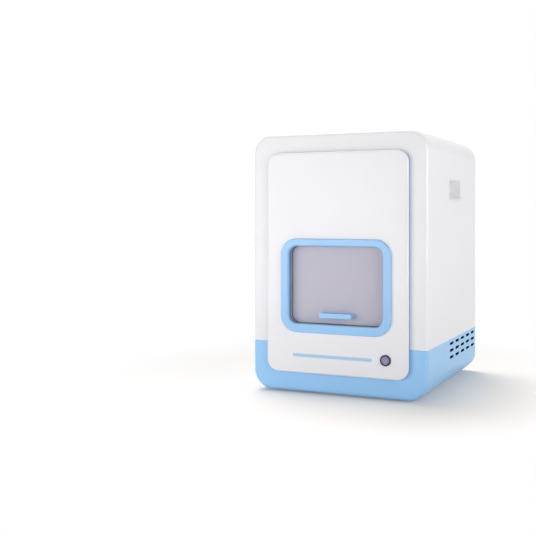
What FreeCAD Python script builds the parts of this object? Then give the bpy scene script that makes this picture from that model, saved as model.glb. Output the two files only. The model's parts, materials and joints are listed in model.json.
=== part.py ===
import FreeCAD, Part
import math
import os
import re
import Sketcher

# Bench-top colony counter: a closed cabinet of two shells with a raised front panel, a sliding
# sash window, a dark imaging chamber with its camera and lights, and the electronics below it.
#
# Millimetres. X runs to the right, Y to the rear, Z up. The origin is the middle of the footprint
# at the underside of the feet.

SIZES = {
    # cabinet shells
    "body_width": 378,
    "body_depth": 380,
    "body_height": 526,
    "body_corner": 40,
    "edge_round": 7,
    "shell_wall": 3,
    "split_height": 100,
    "lip_width": 10,
    "lip_depth": 3,
    # clearances
    "seat_gap": 0.3,
    "hole_gap": 0.15,
    "run_gap": 0.1,
    "loose_gap": 1,
    "blind_gap": 1,
    # side vents, a grid of slots in the lower shell
    "vent_length": 29,
    "vent_height": 5.8,
    "vent_corner": 2.2,
    "vent_first": 173,
    "vent_rise": 61.5,
    "vent_pitch": 45,
    "vent_row_pitch": 14.3,
    "vent_columns": 5,
    "vent_rows": 3,
    # carrying grips in the side walls
    "grip_width": 88,
    "grip_height": 38,
    "grip_depth": 24,
    "grip_back_height": 20,
    "grip_centre": 198,
    "grip_drop": 94,
    "grip_wall": 2,
    "grip_flange": 8,
    # raised front panel
    "panel_width": 306,
    "panel_rise": 40,
    "panel_drop": 39,
    "panel_corner": 25,
    "panel_proud": 10,
    "panel_wall": 3,
    "panel_edge": 4.5,
    "boss_diameter": 8,
    "boss_inset": 16,
    # window bezel and its opening
    "bezel_side": 17,
    "bezel_head": 15,
    "bezel_sill": 18,
    "bezel_corner": 35,
    "bezel_proud": 5,
    "bezel_edge": 2,
    "bezel_lip": 3,
    "bezel_collar": 2.5,
    "window_width": 204,
    "window_height": 157,
    "window_rise": 140.5,
    "window_corner": 18,
    # sliding sash
    "sash_overlap": 10,
    "sash_gauge": 4,
    "sash_gap": 1,
    "sash_travel": 130,
    "sash_corner": 2,
    "rail_wall": 2,
    "rail_side": 3.5,
    "rail_groove": 6,
    "bumper_height": 4,
    # sash handle
    "handle_width": 70,
    "handle_height": 10,
    "handle_reach": 16,
    "handle_rise": 13,
    "handle_round": 2,
    "handle_screw_spacing": 46,
    "handle_tap_depth": 8,
    # accent strip
    "strip_width": 170,
    "strip_height": 6,
    "strip_gauge": 1.2,
    "strip_proud": 0.4,
    "strip_centre": -7.8,
    "strip_rise": 76,
    # power button
    "button_rim": 22,
    "button_barrel": 19,
    "button_length": 24,
    "button_rim_height": 2,
    "button_cap": 13.4,
    "button_cap_proud": 0.8,
    "button_cap_bevel": 1,
    "button_cap_bevel_height": 0.6,
    "button_travel": 2,
    "button_ring": 1,
    "button_bore_depth": 9,
    "button_stem": 6,
    "button_stem_length": 8,
    "button_centre": 106.5,
    "button_rise": 77.6,
    "nut_flats": 22,
    "nut_height": 4,
    # rear panel
    "rear_gauge": 2,
    "rear_proud": 6,
    "rear_screw_inset": 60,
    # feet
    "foot_height": 4,
    "foot_diameter": 26,
    "foot_side_inset": 64,
    "foot_end_inset": 48,
    "foot_bore_depth": 2.6,
    # screws
    "screw_diameter": 4,
    "screw_head": 7.4,
    "screw_head_height": 2.2,
    "small_screw": 3,
    "small_head": 5.6,
    "small_head_height": 1.8,
    "screw_tail": 4,
    # chassis below the chamber
    "base_gap": 5,
    "base_gauge": 2,
    "support_inset": 30,
    "support_flange": 16,
    "support_gauge": 2,
    "support_length": 220,
    "bracket_gauge": 2,
    "bracket_length": 70,
    "bracket_height": 36,
    "bracket_centre": 90,
    # imaging chamber
    "chamber_width": 240,
    "chamber_rise": 122,
    "chamber_drop": 84,
    "chamber_front": 11,
    "chamber_depth": 280,
    "chamber_gauge": 2,
    "stage_centre": 150,
    "lens_hole": 60,
    # backlight and dish ring
    "tray_side": 150,
    "tray_height": 12,
    "tray_wall": 4,
    "tray_floor": 2,
    "tray_corner": 6,
    "diffuser_gauge": 3,
    "diffuser_ledge": 2,
    "board_gauge": 1.6,
    "backlight_led_margin": 14,
    "backlight_led_rows": 6,
    "dish_bore": 91,
    "dish_ring_width": 9,
    "dish_ring_height": 3.5,
    "dish_ring_bevel": 1,
    # top light
    "top_light_outer": 156,
    "top_light_inner": 62,
    "top_light_height": 10,
    "top_light_wall": 2,
    "led_side": 4,
    "led_height": 1.5,
    "led_count": 18,
    # camera and lens
    "camera_side": 44,
    "camera_height": 44,
    "camera_corner": 3,
    "camera_screw_spacing": 34,
    "camera_tap_depth": 6,
    "camera_socket": 14.6,
    "camera_socket_height": 4,
    "bridge_height": 28,
    "bridge_width": 52,
    "bridge_span": 84,
    "bridge_gauge": 2,
    "bridge_foot": 14,
    "lens_diameter": 34,
    "lens_neck": 28,
    "lens_bore": 20,
    "lens_thread": 25,
    "lens_thread_length": 4,
    "lens_top_length": 13,
    "focus_ring_height": 13,
    "lens_middle_length": 6,
    "iris_ring_height": 10,
    "lens_nose_length": 5,
    "lens_ring_outer": 37,
    "glass_gauge": 3,
    "glass_set_back": 1,
    # boards and power supply
    "standoff_height": 8,
    "standoff_diameter": 6,
    "main_board_width": 150,
    "main_board_depth": 110,
    "main_board_rear_gap": 6,
    "driver_board_width": 58,
    "driver_board_depth": 50,
    "driver_board_x": 57,
    "driver_board_y": 80,
    "board_hole_inset": 5,
    "processor_side": 28,
    "processor_height": 2.4,
    "memory_width": 18,
    "memory_depth": 12,
    "memory_height": 2,
    "header_width": 20,
    "header_depth": 10,
    "header_height": 9,
    "coil_side": 12,
    "coil_height": 14,
    "driver_coil_side": 14,
    "driver_coil_height": 10,
    "driver_header_width": 10,
    "driver_header_depth": 16,
    "driver_header_height": 12,
    "supply_width": 110,
    "supply_depth": 80,
    "supply_height": 38,
    "supply_corner": 2,
    "supply_x": -32,
    "supply_y": 80,
    # mains inlet with its fuse drawer
    "inlet_width": 58,
    "inlet_height": 32,
    "inlet_flange": 3,
    "inlet_corner": 3,
    "inlet_body_width": 46,
    "inlet_body_height": 26,
    "inlet_body_depth": 24,
    "inlet_inset": 81,
    "inlet_rise": 58,
    "socket_width": 24.6,
    "socket_height": 17,
    "socket_depth": 15,
    "socket_offset": -8,
    "socket_corner": 2,
    "pin_width": 4,
    "pin_gauge": 2,
    "pin_spacing": 14,
    "pin_length": 11,
    "pin_rise": 2.6,
    "pin_drop": 2,
    "drawer_width": 9,
    "drawer_height": 21,
    "drawer_depth": 20,
    "drawer_offset": 15,
    "drawer_ridge": 3,
    "drawer_ridge_inset": 1,
    "drawer_bay_height": 8,
    "drawer_bay_wall": 2,
    # rear rocker switch
    "switch_width": 21,
    "switch_height": 26,
    "switch_flange": 2,
    "switch_corner": 1.5,
    "switch_body_width": 18,
    "switch_body_height": 22.6,
    "switch_body_depth": 20,
    "switch_wall": 1.5,
    "switch_spacing": 52,
    "rocker_depth": 7,
    "rocker_height": 15.2,
    "rocker_back": 2,
    "rocker_proud": 2.4,
    "rocker_dip": 0.4,
    "rocker_pin": 2.5,
    "rocker_pin_inset": 0.5,
    # data port
    "port_width": 12,
    "port_height": 11,
    "port_depth": 17,
    "port_wall": 0.8,
    "port_offset": -40,
    "port_proud": 0.8,
    "port_corner": 0.5,
    "port_back": 4,
    "tongue_width": 6,
    "tongue_height": 2.8,
    "tongue_set_back": 2,
    # fan and guard
    "fan_side": 80,
    "fan_depth": 25,
    "fan_bore": 76,
    "fan_corner": 5,
    "fan_hub": 30,
    "fan_strut": 4,
    "fan_screw_grip": 16,
    "fan_hole_spacing": 71.5,
    "fan_drop": 126,
    "rotor_hub": 28,
    "rotor_depth": 18,
    "rotor_tip": 35,
    "rotor_chord": 15,
    "rotor_pitch_height": 12,
    "rotor_blade": 1.6,
    "rotor_shaft": 4,
    "rotor_round": 1.5,
    "blade_count": 7,
    "guard_wire": 2,
    "guard_rings": 4,
    "guard_inner": 9,
    "guard_pitch": 9,
    "guard_weld": 0.3,
}

# how far a cut runs past the faces that it opens
PAST = 5

# how near an edge has to lie to a plane to count as lying in it
EDGE_SLACK = 0.01

# places that several pieces share
FRONT = "((panel_proud + bezel_proud - rear_proud - body_depth) / 2)"
REAR = f"({FRONT} + body_depth)"
MIDDLE_Y = f"({FRONT} + body_depth / 2)"
MIDDLE_Z = "(foot_height + body_height / 2)"
SPLIT = "(foot_height + split_height)"
PANEL_FACE = f"({FRONT} - panel_proud)"
PANEL_HEIGHT = "(body_height - panel_rise - panel_drop)"
PANEL_MIDDLE = f"(foot_height + panel_rise + {PANEL_HEIGHT} / 2)"
GRIP_MIDDLE = "(foot_height + body_height - grip_drop - grip_height / 2)"
WINDOW_MIDDLE = "(foot_height + window_rise + window_height / 2)"
BEZEL_MIDDLE = f"({WINDOW_MIDDLE} + (bezel_head - bezel_sill) / 2)"
BEZEL_SIZE = ("window_width + 2 * bezel_side", "window_height + bezel_head + bezel_sill")
SASH_FACE = f"({FRONT} + shell_wall + sash_gap)"
SASH_WIDTH = "(window_width + 2 * sash_overlap)"
SASH_HEIGHT = "(window_height + 2 * sash_overlap)"
SASH_BOTTOM = "(foot_height + window_rise - sash_overlap)"
HANDLE_MIDDLE = "(foot_height + window_rise + handle_rise + handle_height / 2)"
BUTTON_Z = "(foot_height + button_rise)"
STRIP_Z = "(foot_height + strip_rise)"
REAR_SEAT = f"({REAR} - rear_gauge)"
BASE_TOP = "(foot_height + shell_wall + base_gauge)"
STAGE_Y = f"({FRONT} + stage_centre)"
CHAMBER_BOTTOM = "(foot_height + chamber_rise)"
CHAMBER_FLOOR = f"({CHAMBER_BOTTOM} + chamber_gauge)"
CHAMBER_TOP = "(foot_height + body_height - chamber_drop)"
CHAMBER_CEILING = f"({CHAMBER_TOP} - chamber_gauge)"
STAGE_TOP = f"({CHAMBER_FLOOR} + tray_height)"
CAMERA_SEAT = f"({CHAMBER_TOP} + bridge_height)"
INLET_X = "(body_width / 2 - inlet_inset)"
INLET_Z = "(foot_height + inlet_rise)"
SWITCH_X = f"({INLET_X} - switch_spacing)"
FAN_Z = "(foot_height + body_height - fan_drop)"
BOARD_BOTTOM = f"({BASE_TOP} + standoff_height)"
MAIN_BOARD_Y = f"({REAR} - rear_gauge - lip_depth - main_board_rear_gap - main_board_depth / 2)"
DRIVER_BOARD_Y = f"({FRONT} + driver_board_y)"
SCREW_HOLE = "(screw_diameter + 2 * hole_gap)"
SMALL_HOLE = "(small_screw + 2 * hole_gap)"

doc = FreeCAD.newDocument("ColonyCounter")
sheet = doc.addObject("Spreadsheet::Sheet", "Sizes")
for row, (alias, value) in enumerate(SIZES.items(), start=1):
    sheet.set(f"A{row}", alias)
    sheet.set(f"B{row}", str(value))
    sheet.setAlias(f"B{row}", alias)
doc.recompute()

SIZE_NAME = re.compile(r"\b(" + "|".join(sorted(SIZES, key=len, reverse=True)) + r")\b")
finished = []


# ---- helpers: formulas and placing

def formula(text):
    """The expression for a length written with the sheet's names."""
    return SIZE_NAME.sub(r"Sizes.\1", str(text))


def number(text):
    return float(sheet.evalExpression(formula(text)))


def bind(item, **formulas):
    for name, text in formulas.items():
        item.setExpression(name, formula(text))


def place(item, spot, turn=None):
    """Puts an object at a spot given by three formulas, with an optional (axis, degrees) turn."""
    if turn:
        axis, angle = turn
        item.Placement = FreeCAD.Placement(FreeCAD.Vector(), FreeCAD.Rotation(FreeCAD.Vector(*axis), angle))
    for letter, text in zip("xyz", spot):
        item.setExpression(f"Placement.Base.{letter}", formula(text))


def node(item):
    """Marks an object as a finished sub-part; its label is the node's name."""
    finished.append(item)
    return item


# turns that point a piece built along +Z another way
TO_FRONT = ((1, 0, 0), 90)
TO_REAR = ((1, 0, 0), -90)
TO_BOTTOM = ((1, 0, 0), 180)
TURNS = {"up": None, "down": TO_BOTTOM, "front": TO_FRONT, "rear": TO_REAR}


# ---- helpers: sketches and PartDesign features

def new_body(label):
    return node(doc.addObject("PartDesign::Body", label))


def new_sketch(body, plane, start):
    """An empty sketch on an origin plane of the body, moved to start along the plane's axis."""
    sketch = body.newObject("Sketcher::SketchObject", f"{body.Label}_sketch")
    support = next(f for f in body.Origin.OriginFeatures if f.Role == f"{plane}_Plane")
    sketch.AttachmentSupport = [(support, "")]
    sketch.MapMode = "FlatFace"
    sign = "-1" if plane == "XZ" else "1"
    sketch.setExpression("AttachmentOffset.Base.z", formula(f"{sign} * ({start})"))
    return sketch


def dimension(sketch, kind, *parts):
    """Adds a driving dimension whose last part is its formula."""
    *where, text = parts
    index = sketch.addConstraint(Sketcher.Constraint(kind, *where, number(text)))
    sketch.setExpression(f"Constraints[{index}]", formula(text))


def disc(centre, diameter):
    def draw(sketch):
        middle = FreeCAD.Vector(number(centre[0]), number(centre[1]), 0)
        ring = sketch.addGeometry(Part.Circle(middle, FreeCAD.Vector(0, 0, 1), number(diameter) / 2))
        dimension(sketch, "Diameter", ring, diameter)
        dimension(sketch, "DistanceX", -1, 1, ring, 3, centre[0])
        dimension(sketch, "DistanceY", -1, 1, ring, 3, centre[1])
    return draw


def polygon(points):
    """A closed outline of straight lines through points given by formulas."""
    def draw(sketch):
        spots = [FreeCAD.Vector(number(x), number(y), 0) for x, y in points]
        lines = [
            sketch.addGeometry(Part.LineSegment(spot, spots[(i + 1) % len(spots)]))
            for i, spot in enumerate(spots)
        ]
        for i, line in enumerate(lines):
            sketch.addConstraint(Sketcher.Constraint("Coincident", line, 2, lines[(i + 1) % len(lines)], 1))
            dimension(sketch, "DistanceX", -1, 1, line, 1, points[i][0])
            dimension(sketch, "DistanceY", -1, 1, line, 1, points[i][1])
    return draw


def slab(centre, size, corner=None):
    """A rectangle about its centre, with round corners where a radius is given."""
    left = f"({centre[0]}) - ({size[0]}) / 2"
    low = f"({centre[1]}) - ({size[1]}) / 2"
    if corner is None:
        right = f"({centre[0]}) + ({size[0]}) / 2"
        high = f"({centre[1]}) + ({size[1]}) / 2"
        return polygon([(left, low), (right, low), (right, high), (left, high)])

    def draw(sketch):
        x0, y0, r = number(left), number(low), number(corner)
        x1, y1 = x0 + number(size[0]), y0 + number(size[1])
        ends = [
            ((x0 + r, y0), (x1 - r, y0)),
            ((x1, y0 + r), (x1, y1 - r)),
            ((x1 - r, y1), (x0 + r, y1)),
            ((x0, y1 - r), (x0, y0 + r)),
        ]
        centres = [(x1 - r, y0 + r), (x1 - r, y1 - r), (x0 + r, y1 - r), (x0 + r, y0 + r)]
        quarter = math.radians(90)
        lines = []
        arcs = []
        for i in range(4):
            start, end = (FreeCAD.Vector(*point, 0) for point in ends[i])
            lines.append(sketch.addGeometry(Part.LineSegment(start, end)))
            ring = Part.Circle(FreeCAD.Vector(*centres[i], 0), FreeCAD.Vector(0, 0, 1), r)
            arcs.append(sketch.addGeometry(Part.ArcOfCircle(ring, (i - 1) * quarter, i * quarter)))
        for i in range(4):
            sketch.addConstraint(Sketcher.Constraint("Tangent", lines[i], 2, arcs[i], 1))
            sketch.addConstraint(Sketcher.Constraint("Tangent", arcs[i], 2, lines[(i + 1) % 4], 1))
            sketch.addConstraint(Sketcher.Constraint("Vertical" if i % 2 else "Horizontal", lines[i]))
        for arc in arcs[1:]:
            sketch.addConstraint(Sketcher.Constraint("Equal", arcs[0], arc))
        dimension(sketch, "Radius", arcs[0], corner)
        dimension(sketch, "DistanceX", lines[3], 1, lines[1], 1, size[0])
        dimension(sketch, "DistanceY", lines[0], 1, lines[2], 1, size[1])
        dimension(sketch, "DistanceX", -1, 1, lines[3], 1, left)
        dimension(sketch, "DistanceY", -1, 1, lines[0], 1, low)
    return draw


def extrude(body, plane, start, length, *outlines, cut=False):
    """Pads the outlines from start, by length, along the plane's axis; with cut it pockets them."""
    sketch = new_sketch(body, plane, start)
    for outline in outlines:
        outline(sketch)
    kind = "PartDesign::Pocket" if cut else "PartDesign::Pad"
    feature = body.newObject(kind, f"{body.Label}_{'pocket' if cut else 'pad'}")
    feature.Profile = sketch
    bind(feature, Length=length)
    # a sketch on the XZ plane faces -Y, and a pocket runs against its sketch's normal
    feature.Reversed = cut != (plane == "XZ")
    return feature


def lathe(label, points, spot, turn=None):
    """A body turned about its Z axis from an outline of (radius, height) points."""
    body = new_body(label)
    sketch = new_sketch(body, "XZ", 0)
    polygon(points)(sketch)
    feature = body.newObject("PartDesign::Revolution", f"{label}_turned")
    feature.Profile = sketch
    feature.ReferenceAxis = (sketch, ["V_Axis"])
    feature.Angle = 360
    place(body, spot, turn)
    return body


def round_edges(body, radius, *tests):
    """Rounds the edges of the body so far that pass every test."""
    doc.recompute()
    base = body.Tip
    names = [
        f"Edge{i}"
        for i, edge in enumerate(base.Shape.Edges, start=1)
        if all(test(edge) for test in tests)
    ]
    feature = body.newObject("PartDesign::Fillet", f"{body.Label}_round")
    feature.Base = (base, names)
    bind(feature, Radius=radius)
    return feature


def at_level(axis, place_text):
    """A test for edges that lie in the plane at a place on the X, Y or Z axis."""
    level = number(place_text)

    def test(edge):
        low, high = span(edge, axis)
        return abs(low - level) < EDGE_SLACK and abs(high - level) < EDGE_SLACK
    return test


def within(axis, middle, size):
    """A test for edges that stay inside a stretch of the X, Y or Z axis."""
    reach = number(size) / 2 + EDGE_SLACK

    def test(edge):
        return all(abs(end - number(middle)) < reach for end in span(edge, axis))
    return test


def span(edge, axis):
    """The lowest and highest place of an edge along an axis."""
    box = edge.BoundBox
    return getattr(box, f"{axis}Min"), getattr(box, f"{axis}Max")


# ---- helpers: Part primitives and booleans

def box(label, corner, size):
    item = doc.addObject("Part::Box", label)
    bind(item, Length=size[0], Width=size[1], Height=size[2])
    place(item, corner)
    return item


def centred_box(label, middle, size):
    """A box about a middle in X and Y that stands on the middle's Z."""
    corner = (f"({middle[0]}) - ({size[0]}) / 2", f"({middle[1]}) - ({size[1]}) / 2", middle[2])
    return box(label, corner, size)


def rod(label, start, way, diameter, length):
    item = doc.addObject("Part::Cylinder", label)
    bind(item, Radius=f"({diameter}) / 2", Height=length)
    place(item, start, TURNS[way])
    return item


def fuse(label, pieces):
    item = doc.addObject("Part::MultiFuse", label)
    item.Shapes = pieces
    return item


def cut(label, base, tools):
    tool = tools[0] if len(tools) == 1 else fuse(f"{label}_tools", tools)
    item = doc.addObject("Part::Cut", label)
    item.Base = base
    item.Tool = tool
    return item


def screws(label, seats, way, shank, head="screw"):
    """A group of socket screws whose heads sit on the seats and whose shanks point the given way."""
    diameter, width, height = {
        "screw": ("screw_diameter", "screw_head", "screw_head_height"),
        "small": ("small_screw", "small_head", "small_head_height"),
    }[head]
    back = {"up": "down", "down": "up", "front": "rear", "rear": "front"}[way]
    step = {"up": (2, -1), "down": (2, 1), "front": (1, 1), "rear": (1, -1)}[way]
    group = []
    for i, seat in enumerate(seats):
        cap = rod(f"{label}_head_{i}", seat, back, width, height)
        stem = rod(f"{label}_shank_{i}", seat, way, diameter, shank)
        top = list(seat)
        top[step[0]] = f"({seat[step[0]]}) + {step[1]} * {height}"
        socket = doc.addObject("Part::Prism", f"{label}_socket_{i}")
        socket.Polygon = 6
        bind(socket, Circumradius=f"{width} / 4", Height=f"{height} / 2")
        place(socket, top, TURNS[way])
        group.append(cut(f"{label}_{i}", fuse(f"{label}_solid_{i}", [cap, stem]), [socket]))
    return node(fuse(label, group))


# ---- cabinet

def panel_bosses(low, high):
    """The (x, z) places of the front panel's bosses on its lower or upper side, or on both."""
    levels = []
    if low:
        levels.append("foot_height + panel_rise + panel_corner")
    if high:
        levels.append(f"foot_height + panel_rise + {PANEL_HEIGHT} - panel_corner")
    return [
        (f"{side} * (panel_width / 2 - boss_inset)", level)
        for level in levels
        for side in (-1, 1)
    ]


def rear_screw_places():
    levels = ("rear_screw_inset", "body_height / 2", "body_height - rear_screw_inset")
    return [
        (f"{side} * (body_width / 2 - shell_wall - lip_width / 2)", f"foot_height + {level}")
        for level in levels
        for side in (-1, 1)
    ]


def foot_places():
    across = "(body_width / 2 - foot_side_inset)"
    along = "(body_depth / 2 - foot_end_inset)"
    return [
        (f"{side} * {across}", f"{MIDDLE_Y} + {end} * {along}")
        for side in (-1, 1)
        for end in (-1, 1)
    ]


def shell(label, keep_upper):
    """One of the two shells: the hollow cabinet with its front edge rounded, cut at the split."""
    body = new_body(label)
    inner = ("body_width - 2 * shell_wall", "body_height - 2 * shell_wall")
    mouth = tuple(f"{side} - 2 * lip_width" for side in inner)
    middle = (0, MIDDLE_Z)
    lip_front = f"{REAR_SEAT} - lip_depth"
    extrude(body, "XZ", FRONT, "body_depth", slab(middle, ("body_width", "body_height"), "body_corner"))
    round_edges(body, "edge_round", at_level("Y", FRONT))
    inner_corner = "body_corner - shell_wall"
    extrude(
        body, "XZ", f"{FRONT} + shell_wall", "body_depth - shell_wall - rear_gauge - lip_depth",
        slab(middle, inner, inner_corner), cut=True,
    )
    round_edges(body, "edge_round - shell_wall", at_level("Y", f"{FRONT} + shell_wall"))
    extrude(
        body, "XZ", lip_front, "lip_depth + rear_gauge",
        slab(middle, mouth, f"{inner_corner} - lip_width"), cut=True,
    )
    extrude(body, "XZ", REAR_SEAT, "rear_gauge", slab(middle, inner, inner_corner), cut=True)
    outside = slab((0, MIDDLE_Y), (f"body_width + {PAST}", f"body_depth + {PAST}"))
    if keep_upper:
        extrude(body, "XY", f"foot_height - {PAST}", f"split_height + {PAST}", outside, cut=True)
    else:
        extrude(body, "XY", SPLIT, f"body_height - split_height + {PAST}", outside, cut=True)
    holes = [disc(spot, SCREW_HOLE) for spot in panel_bosses(not keep_upper, keep_upper)]
    extrude(body, "XZ", FRONT, "shell_wall", *holes, cut=True)
    lip_holes = rear_screw_places()[2:] if keep_upper else rear_screw_places()[:2]
    extrude(body, "XZ", lip_front, "lip_depth", *(disc(spot, SCREW_HOLE) for spot in lip_holes), cut=True)
    return body


def upper_housing():
    body = shell("upper_housing", True)
    opening = slab((0, WINDOW_MIDDLE), ("window_width", "window_height"), "window_corner")
    extrude(body, "XZ", FRONT, "shell_wall", opening, cut=True)
    extra = "2 * (grip_wall + seat_gap)"
    middle = (f"{FRONT} + grip_centre", GRIP_MIDDLE)
    grips = slab(middle, (f"grip_width + {extra}", f"grip_height + {extra}"))
    extrude(body, "YZ", f"-body_width / 2 - {PAST}", f"body_width + {2 * PAST}", grips, cut=True)


def lower_housing():
    body = shell("lower_housing", False)
    button = disc(("button_centre", BUTTON_Z), "button_rim + 2 * loose_gap")
    extrude(body, "XZ", FRONT, "shell_wall", button, cut=True)
    feet = [disc(spot, SCREW_HOLE) for spot in foot_places()]
    extrude(body, "XY", "foot_height", "shell_wall", *feet, cut=True)
    slot = slab(
        (f"{FRONT} + vent_first", "foot_height + vent_rise"),
        ("vent_length", "vent_height"), "vent_corner",
    )
    first = extrude(
        body, "YZ", f"-body_width / 2 - {PAST}", f"body_width + {2 * PAST}", slot, cut=True,
    )
    grid = body.newObject("PartDesign::LinearPattern", "vent_grid")
    grid.Originals = [first]
    grid.Direction = (first.Profile[0], ["H_Axis"])
    grid.Direction2 = (first.Profile[0], ["V_Axis"])
    bind(grid, Length="vent_pitch * (vent_columns - 1)", Occurrences="vent_columns")
    bind(grid, Length2="vent_row_pitch * (vent_rows - 1)", Occurrences2="vent_rows")
    body.Tip = grid


def grip_cup(side, sign):
    """A scoop let into a side wall: deep under its ceiling, with a floor that slopes outward."""
    surface = f"{sign} * body_width / 2"
    start_y = f"{FRONT} + grip_centre"
    turn = ((0, 0, 1), 90 * sign)

    def wedge(label, wall):
        item = doc.addObject("Part::Wedge", label)
        bind(item, Xmin=f"-grip_width / 2 - {wall}", Xmax=f"grip_width / 2 + {wall}")
        bind(item, X2min=f"-grip_width / 2 - {wall}", X2max=f"grip_width / 2 + {wall}")
        bind(item, Ymin=0, Ymax=f"grip_depth + {wall}")
        bind(item, Zmin=f"-{wall}", Zmax=f"grip_height + {wall}")
        bind(item, Z2min=f"grip_height - grip_back_height - {wall}", Z2max=f"grip_height + {wall}")
        place(item, (surface, start_y, f"{GRIP_MIDDLE} - grip_height / 2"), turn)
        return item

    outer = wedge(f"grip_cup_{side}_outer", "grip_wall")
    inner = wedge(f"grip_cup_{side}_inner", "0")
    inside = f"{sign} * (body_width / 2 - shell_wall)"
    flange_x = f"{inside} - grip_wall" if sign > 0 else inside
    border = "(grip_wall + grip_flange)"
    flange = box(
        f"grip_cup_{side}_flange",
        (flange_x, f"{start_y} - grip_width / 2 - {border}", f"{GRIP_MIDDLE} - grip_height / 2 - {border}"),
        ("grip_wall", f"grip_width + 2 * {border}", f"grip_height + 2 * {border}"),
    )
    solid = fuse(f"grip_cup_{side}_solid", [outer, flange])
    node(cut(f"grip_cup_{side}", solid, [inner]))


def rear_panel():
    body = new_body("rear_panel")
    size = ("body_width - 2 * (shell_wall + seat_gap)", "body_height - 2 * (shell_wall + seat_gap)")
    outline = slab((0, MIDDLE_Z), size, "body_corner - shell_wall - seat_gap")
    extrude(body, "XZ", REAR_SEAT, "rear_gauge", outline)
    openings = [disc(spot, SCREW_HOLE) for spot in rear_screw_places()]
    openings.append(disc((0, FAN_Z), "fan_bore"))
    openings += [disc(spot, SCREW_HOLE) for spot in fan_hole_places()]
    gap = "2 * seat_gap"
    sockets = {
        "inlet_body": (INLET_X, INLET_Z),
        "switch_body": (SWITCH_X, INLET_Z),
        "port": ("port_offset", port_middle()),
    }
    for piece, spot in sockets.items():
        openings.append(slab(spot, (f"{piece}_width + {gap}", f"{piece}_height + {gap}")))
    extrude(body, "XZ", REAR_SEAT, "rear_gauge", *openings, cut=True)
    seats = [(x, REAR, z) for x, z in rear_screw_places()]
    screws("rear_panel_screws", seats, "front", "rear_gauge + lip_depth + screw_tail")


def feet():
    feet_solids = []
    for i, (x, y) in enumerate(foot_places()):
        pad = rod(f"foot_pad_{i}", (x, y, 0), "up", "foot_diameter", "foot_height")
        hole = rod(f"foot_hole_{i}", (x, y, 0), "up", SCREW_HOLE, "foot_height")
        bore = rod(f"foot_bore_{i}", (x, y, 0), "up", "screw_head + loose_gap", "foot_bore_depth")
        feet_solids.append(cut(f"foot_{i}", pad, [hole, bore]))
    node(fuse("rubber_feet", feet_solids))
    seats = [(x, y, "foot_bore_depth") for x, y in foot_places()]
    screws("foot_screws", seats, "up", "foot_height - foot_bore_depth + shell_wall + base_gauge + screw_tail")


def seam_bracket(side, sign):
    """A plate that ties the two shells together across their split, inside a side wall."""
    inside = f"{sign} * (body_width / 2 - shell_wall)"
    x = f"{inside} - bracket_gauge" if sign > 0 else inside
    corner = (x, f"{FRONT} + bracket_centre - bracket_length / 2", f"{SPLIT} - bracket_height / 2")
    node(box(f"seam_bracket_{side}", corner, ("bracket_gauge", "bracket_length", "bracket_height")))


# ---- raised front panel and what it carries

def front_panel():
    body = new_body("front_panel")
    middle = (0, PANEL_MIDDLE)
    outline = slab(middle, ("panel_width", PANEL_HEIGHT), "panel_corner")
    extrude(body, "XZ", PANEL_FACE, "panel_proud", outline)
    round_edges(body, "panel_edge", at_level("Y", PANEL_FACE))
    inner = ("panel_width - 2 * panel_wall", f"{PANEL_HEIGHT} - 2 * panel_wall")
    extrude(
        body, "XZ", f"{PANEL_FACE} + panel_wall", "panel_proud - panel_wall",
        slab(middle, inner, "panel_corner - panel_wall"), cut=True,
    )
    bosses = [disc(spot, "boss_diameter") for spot in panel_bosses(True, True)]
    extrude(body, "XZ", f"{PANEL_FACE} + panel_wall / 2", "panel_proud - panel_wall / 2", *bosses)
    pilots = [disc(spot, SCREW_HOLE) for spot in panel_bosses(True, True)]
    extrude(body, "XZ", f"{PANEL_FACE} + panel_wall", "panel_proud - panel_wall", *pilots, cut=True)
    border = "2 * (bezel_collar + seat_gap)"
    collar = slab(
        (0, WINDOW_MIDDLE), (f"window_width + {border}", f"window_height + {border}"),
        "window_corner + bezel_collar + seat_gap",
    )
    button = disc(("button_centre", BUTTON_Z), "button_barrel + 2 * hole_gap")
    extrude(body, "XZ", PANEL_FACE, "panel_wall", collar, button, cut=True)
    groove = slab(("strip_centre", STRIP_Z), ("strip_width + 2 * hole_gap", "strip_height + 2 * hole_gap"))
    extrude(body, "XZ", PANEL_FACE, "strip_gauge - strip_proud", groove, cut=True)
    seats = [(x, f"{FRONT} + shell_wall", z) for x, z in panel_bosses(True, True)]
    screws("front_panel_screws", seats, "front", "shell_wall + panel_proud - panel_wall - blind_gap")


def accent_strip():
    low = ("strip_centre - strip_width / 2", f"{PANEL_FACE} - strip_proud", f"{STRIP_Z} - strip_height / 2")
    node(box("accent_strip", low, ("strip_width", "strip_gauge", "strip_height")))


def window_bezel():
    body = new_body("window_bezel")
    face = f"{PANEL_FACE} - bezel_proud"
    flange = slab((0, BEZEL_MIDDLE), BEZEL_SIZE, "bezel_corner")
    extrude(body, "XZ", face, "bezel_proud", flange)
    round_edges(body, "bezel_edge", at_level("Y", face))
    collar = slab(
        (0, WINDOW_MIDDLE), ("window_width + 2 * bezel_collar", "window_height + 2 * bezel_collar"),
        "window_corner + bezel_collar",
    )
    extrude(body, "XZ", f"{face} + bezel_proud / 2", "bezel_proud / 2 + panel_proud", collar)
    opening = slab((0, WINDOW_MIDDLE), ("window_width", "window_height"), "window_corner")
    extrude(body, "XZ", face, "bezel_proud + panel_proud", opening, cut=True)
    on_window = (within("X", 0, "window_width"), within("Z", WINDOW_MIDDLE, "window_height"))
    round_edges(body, "bezel_lip", at_level("Y", face), *on_window)


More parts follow.
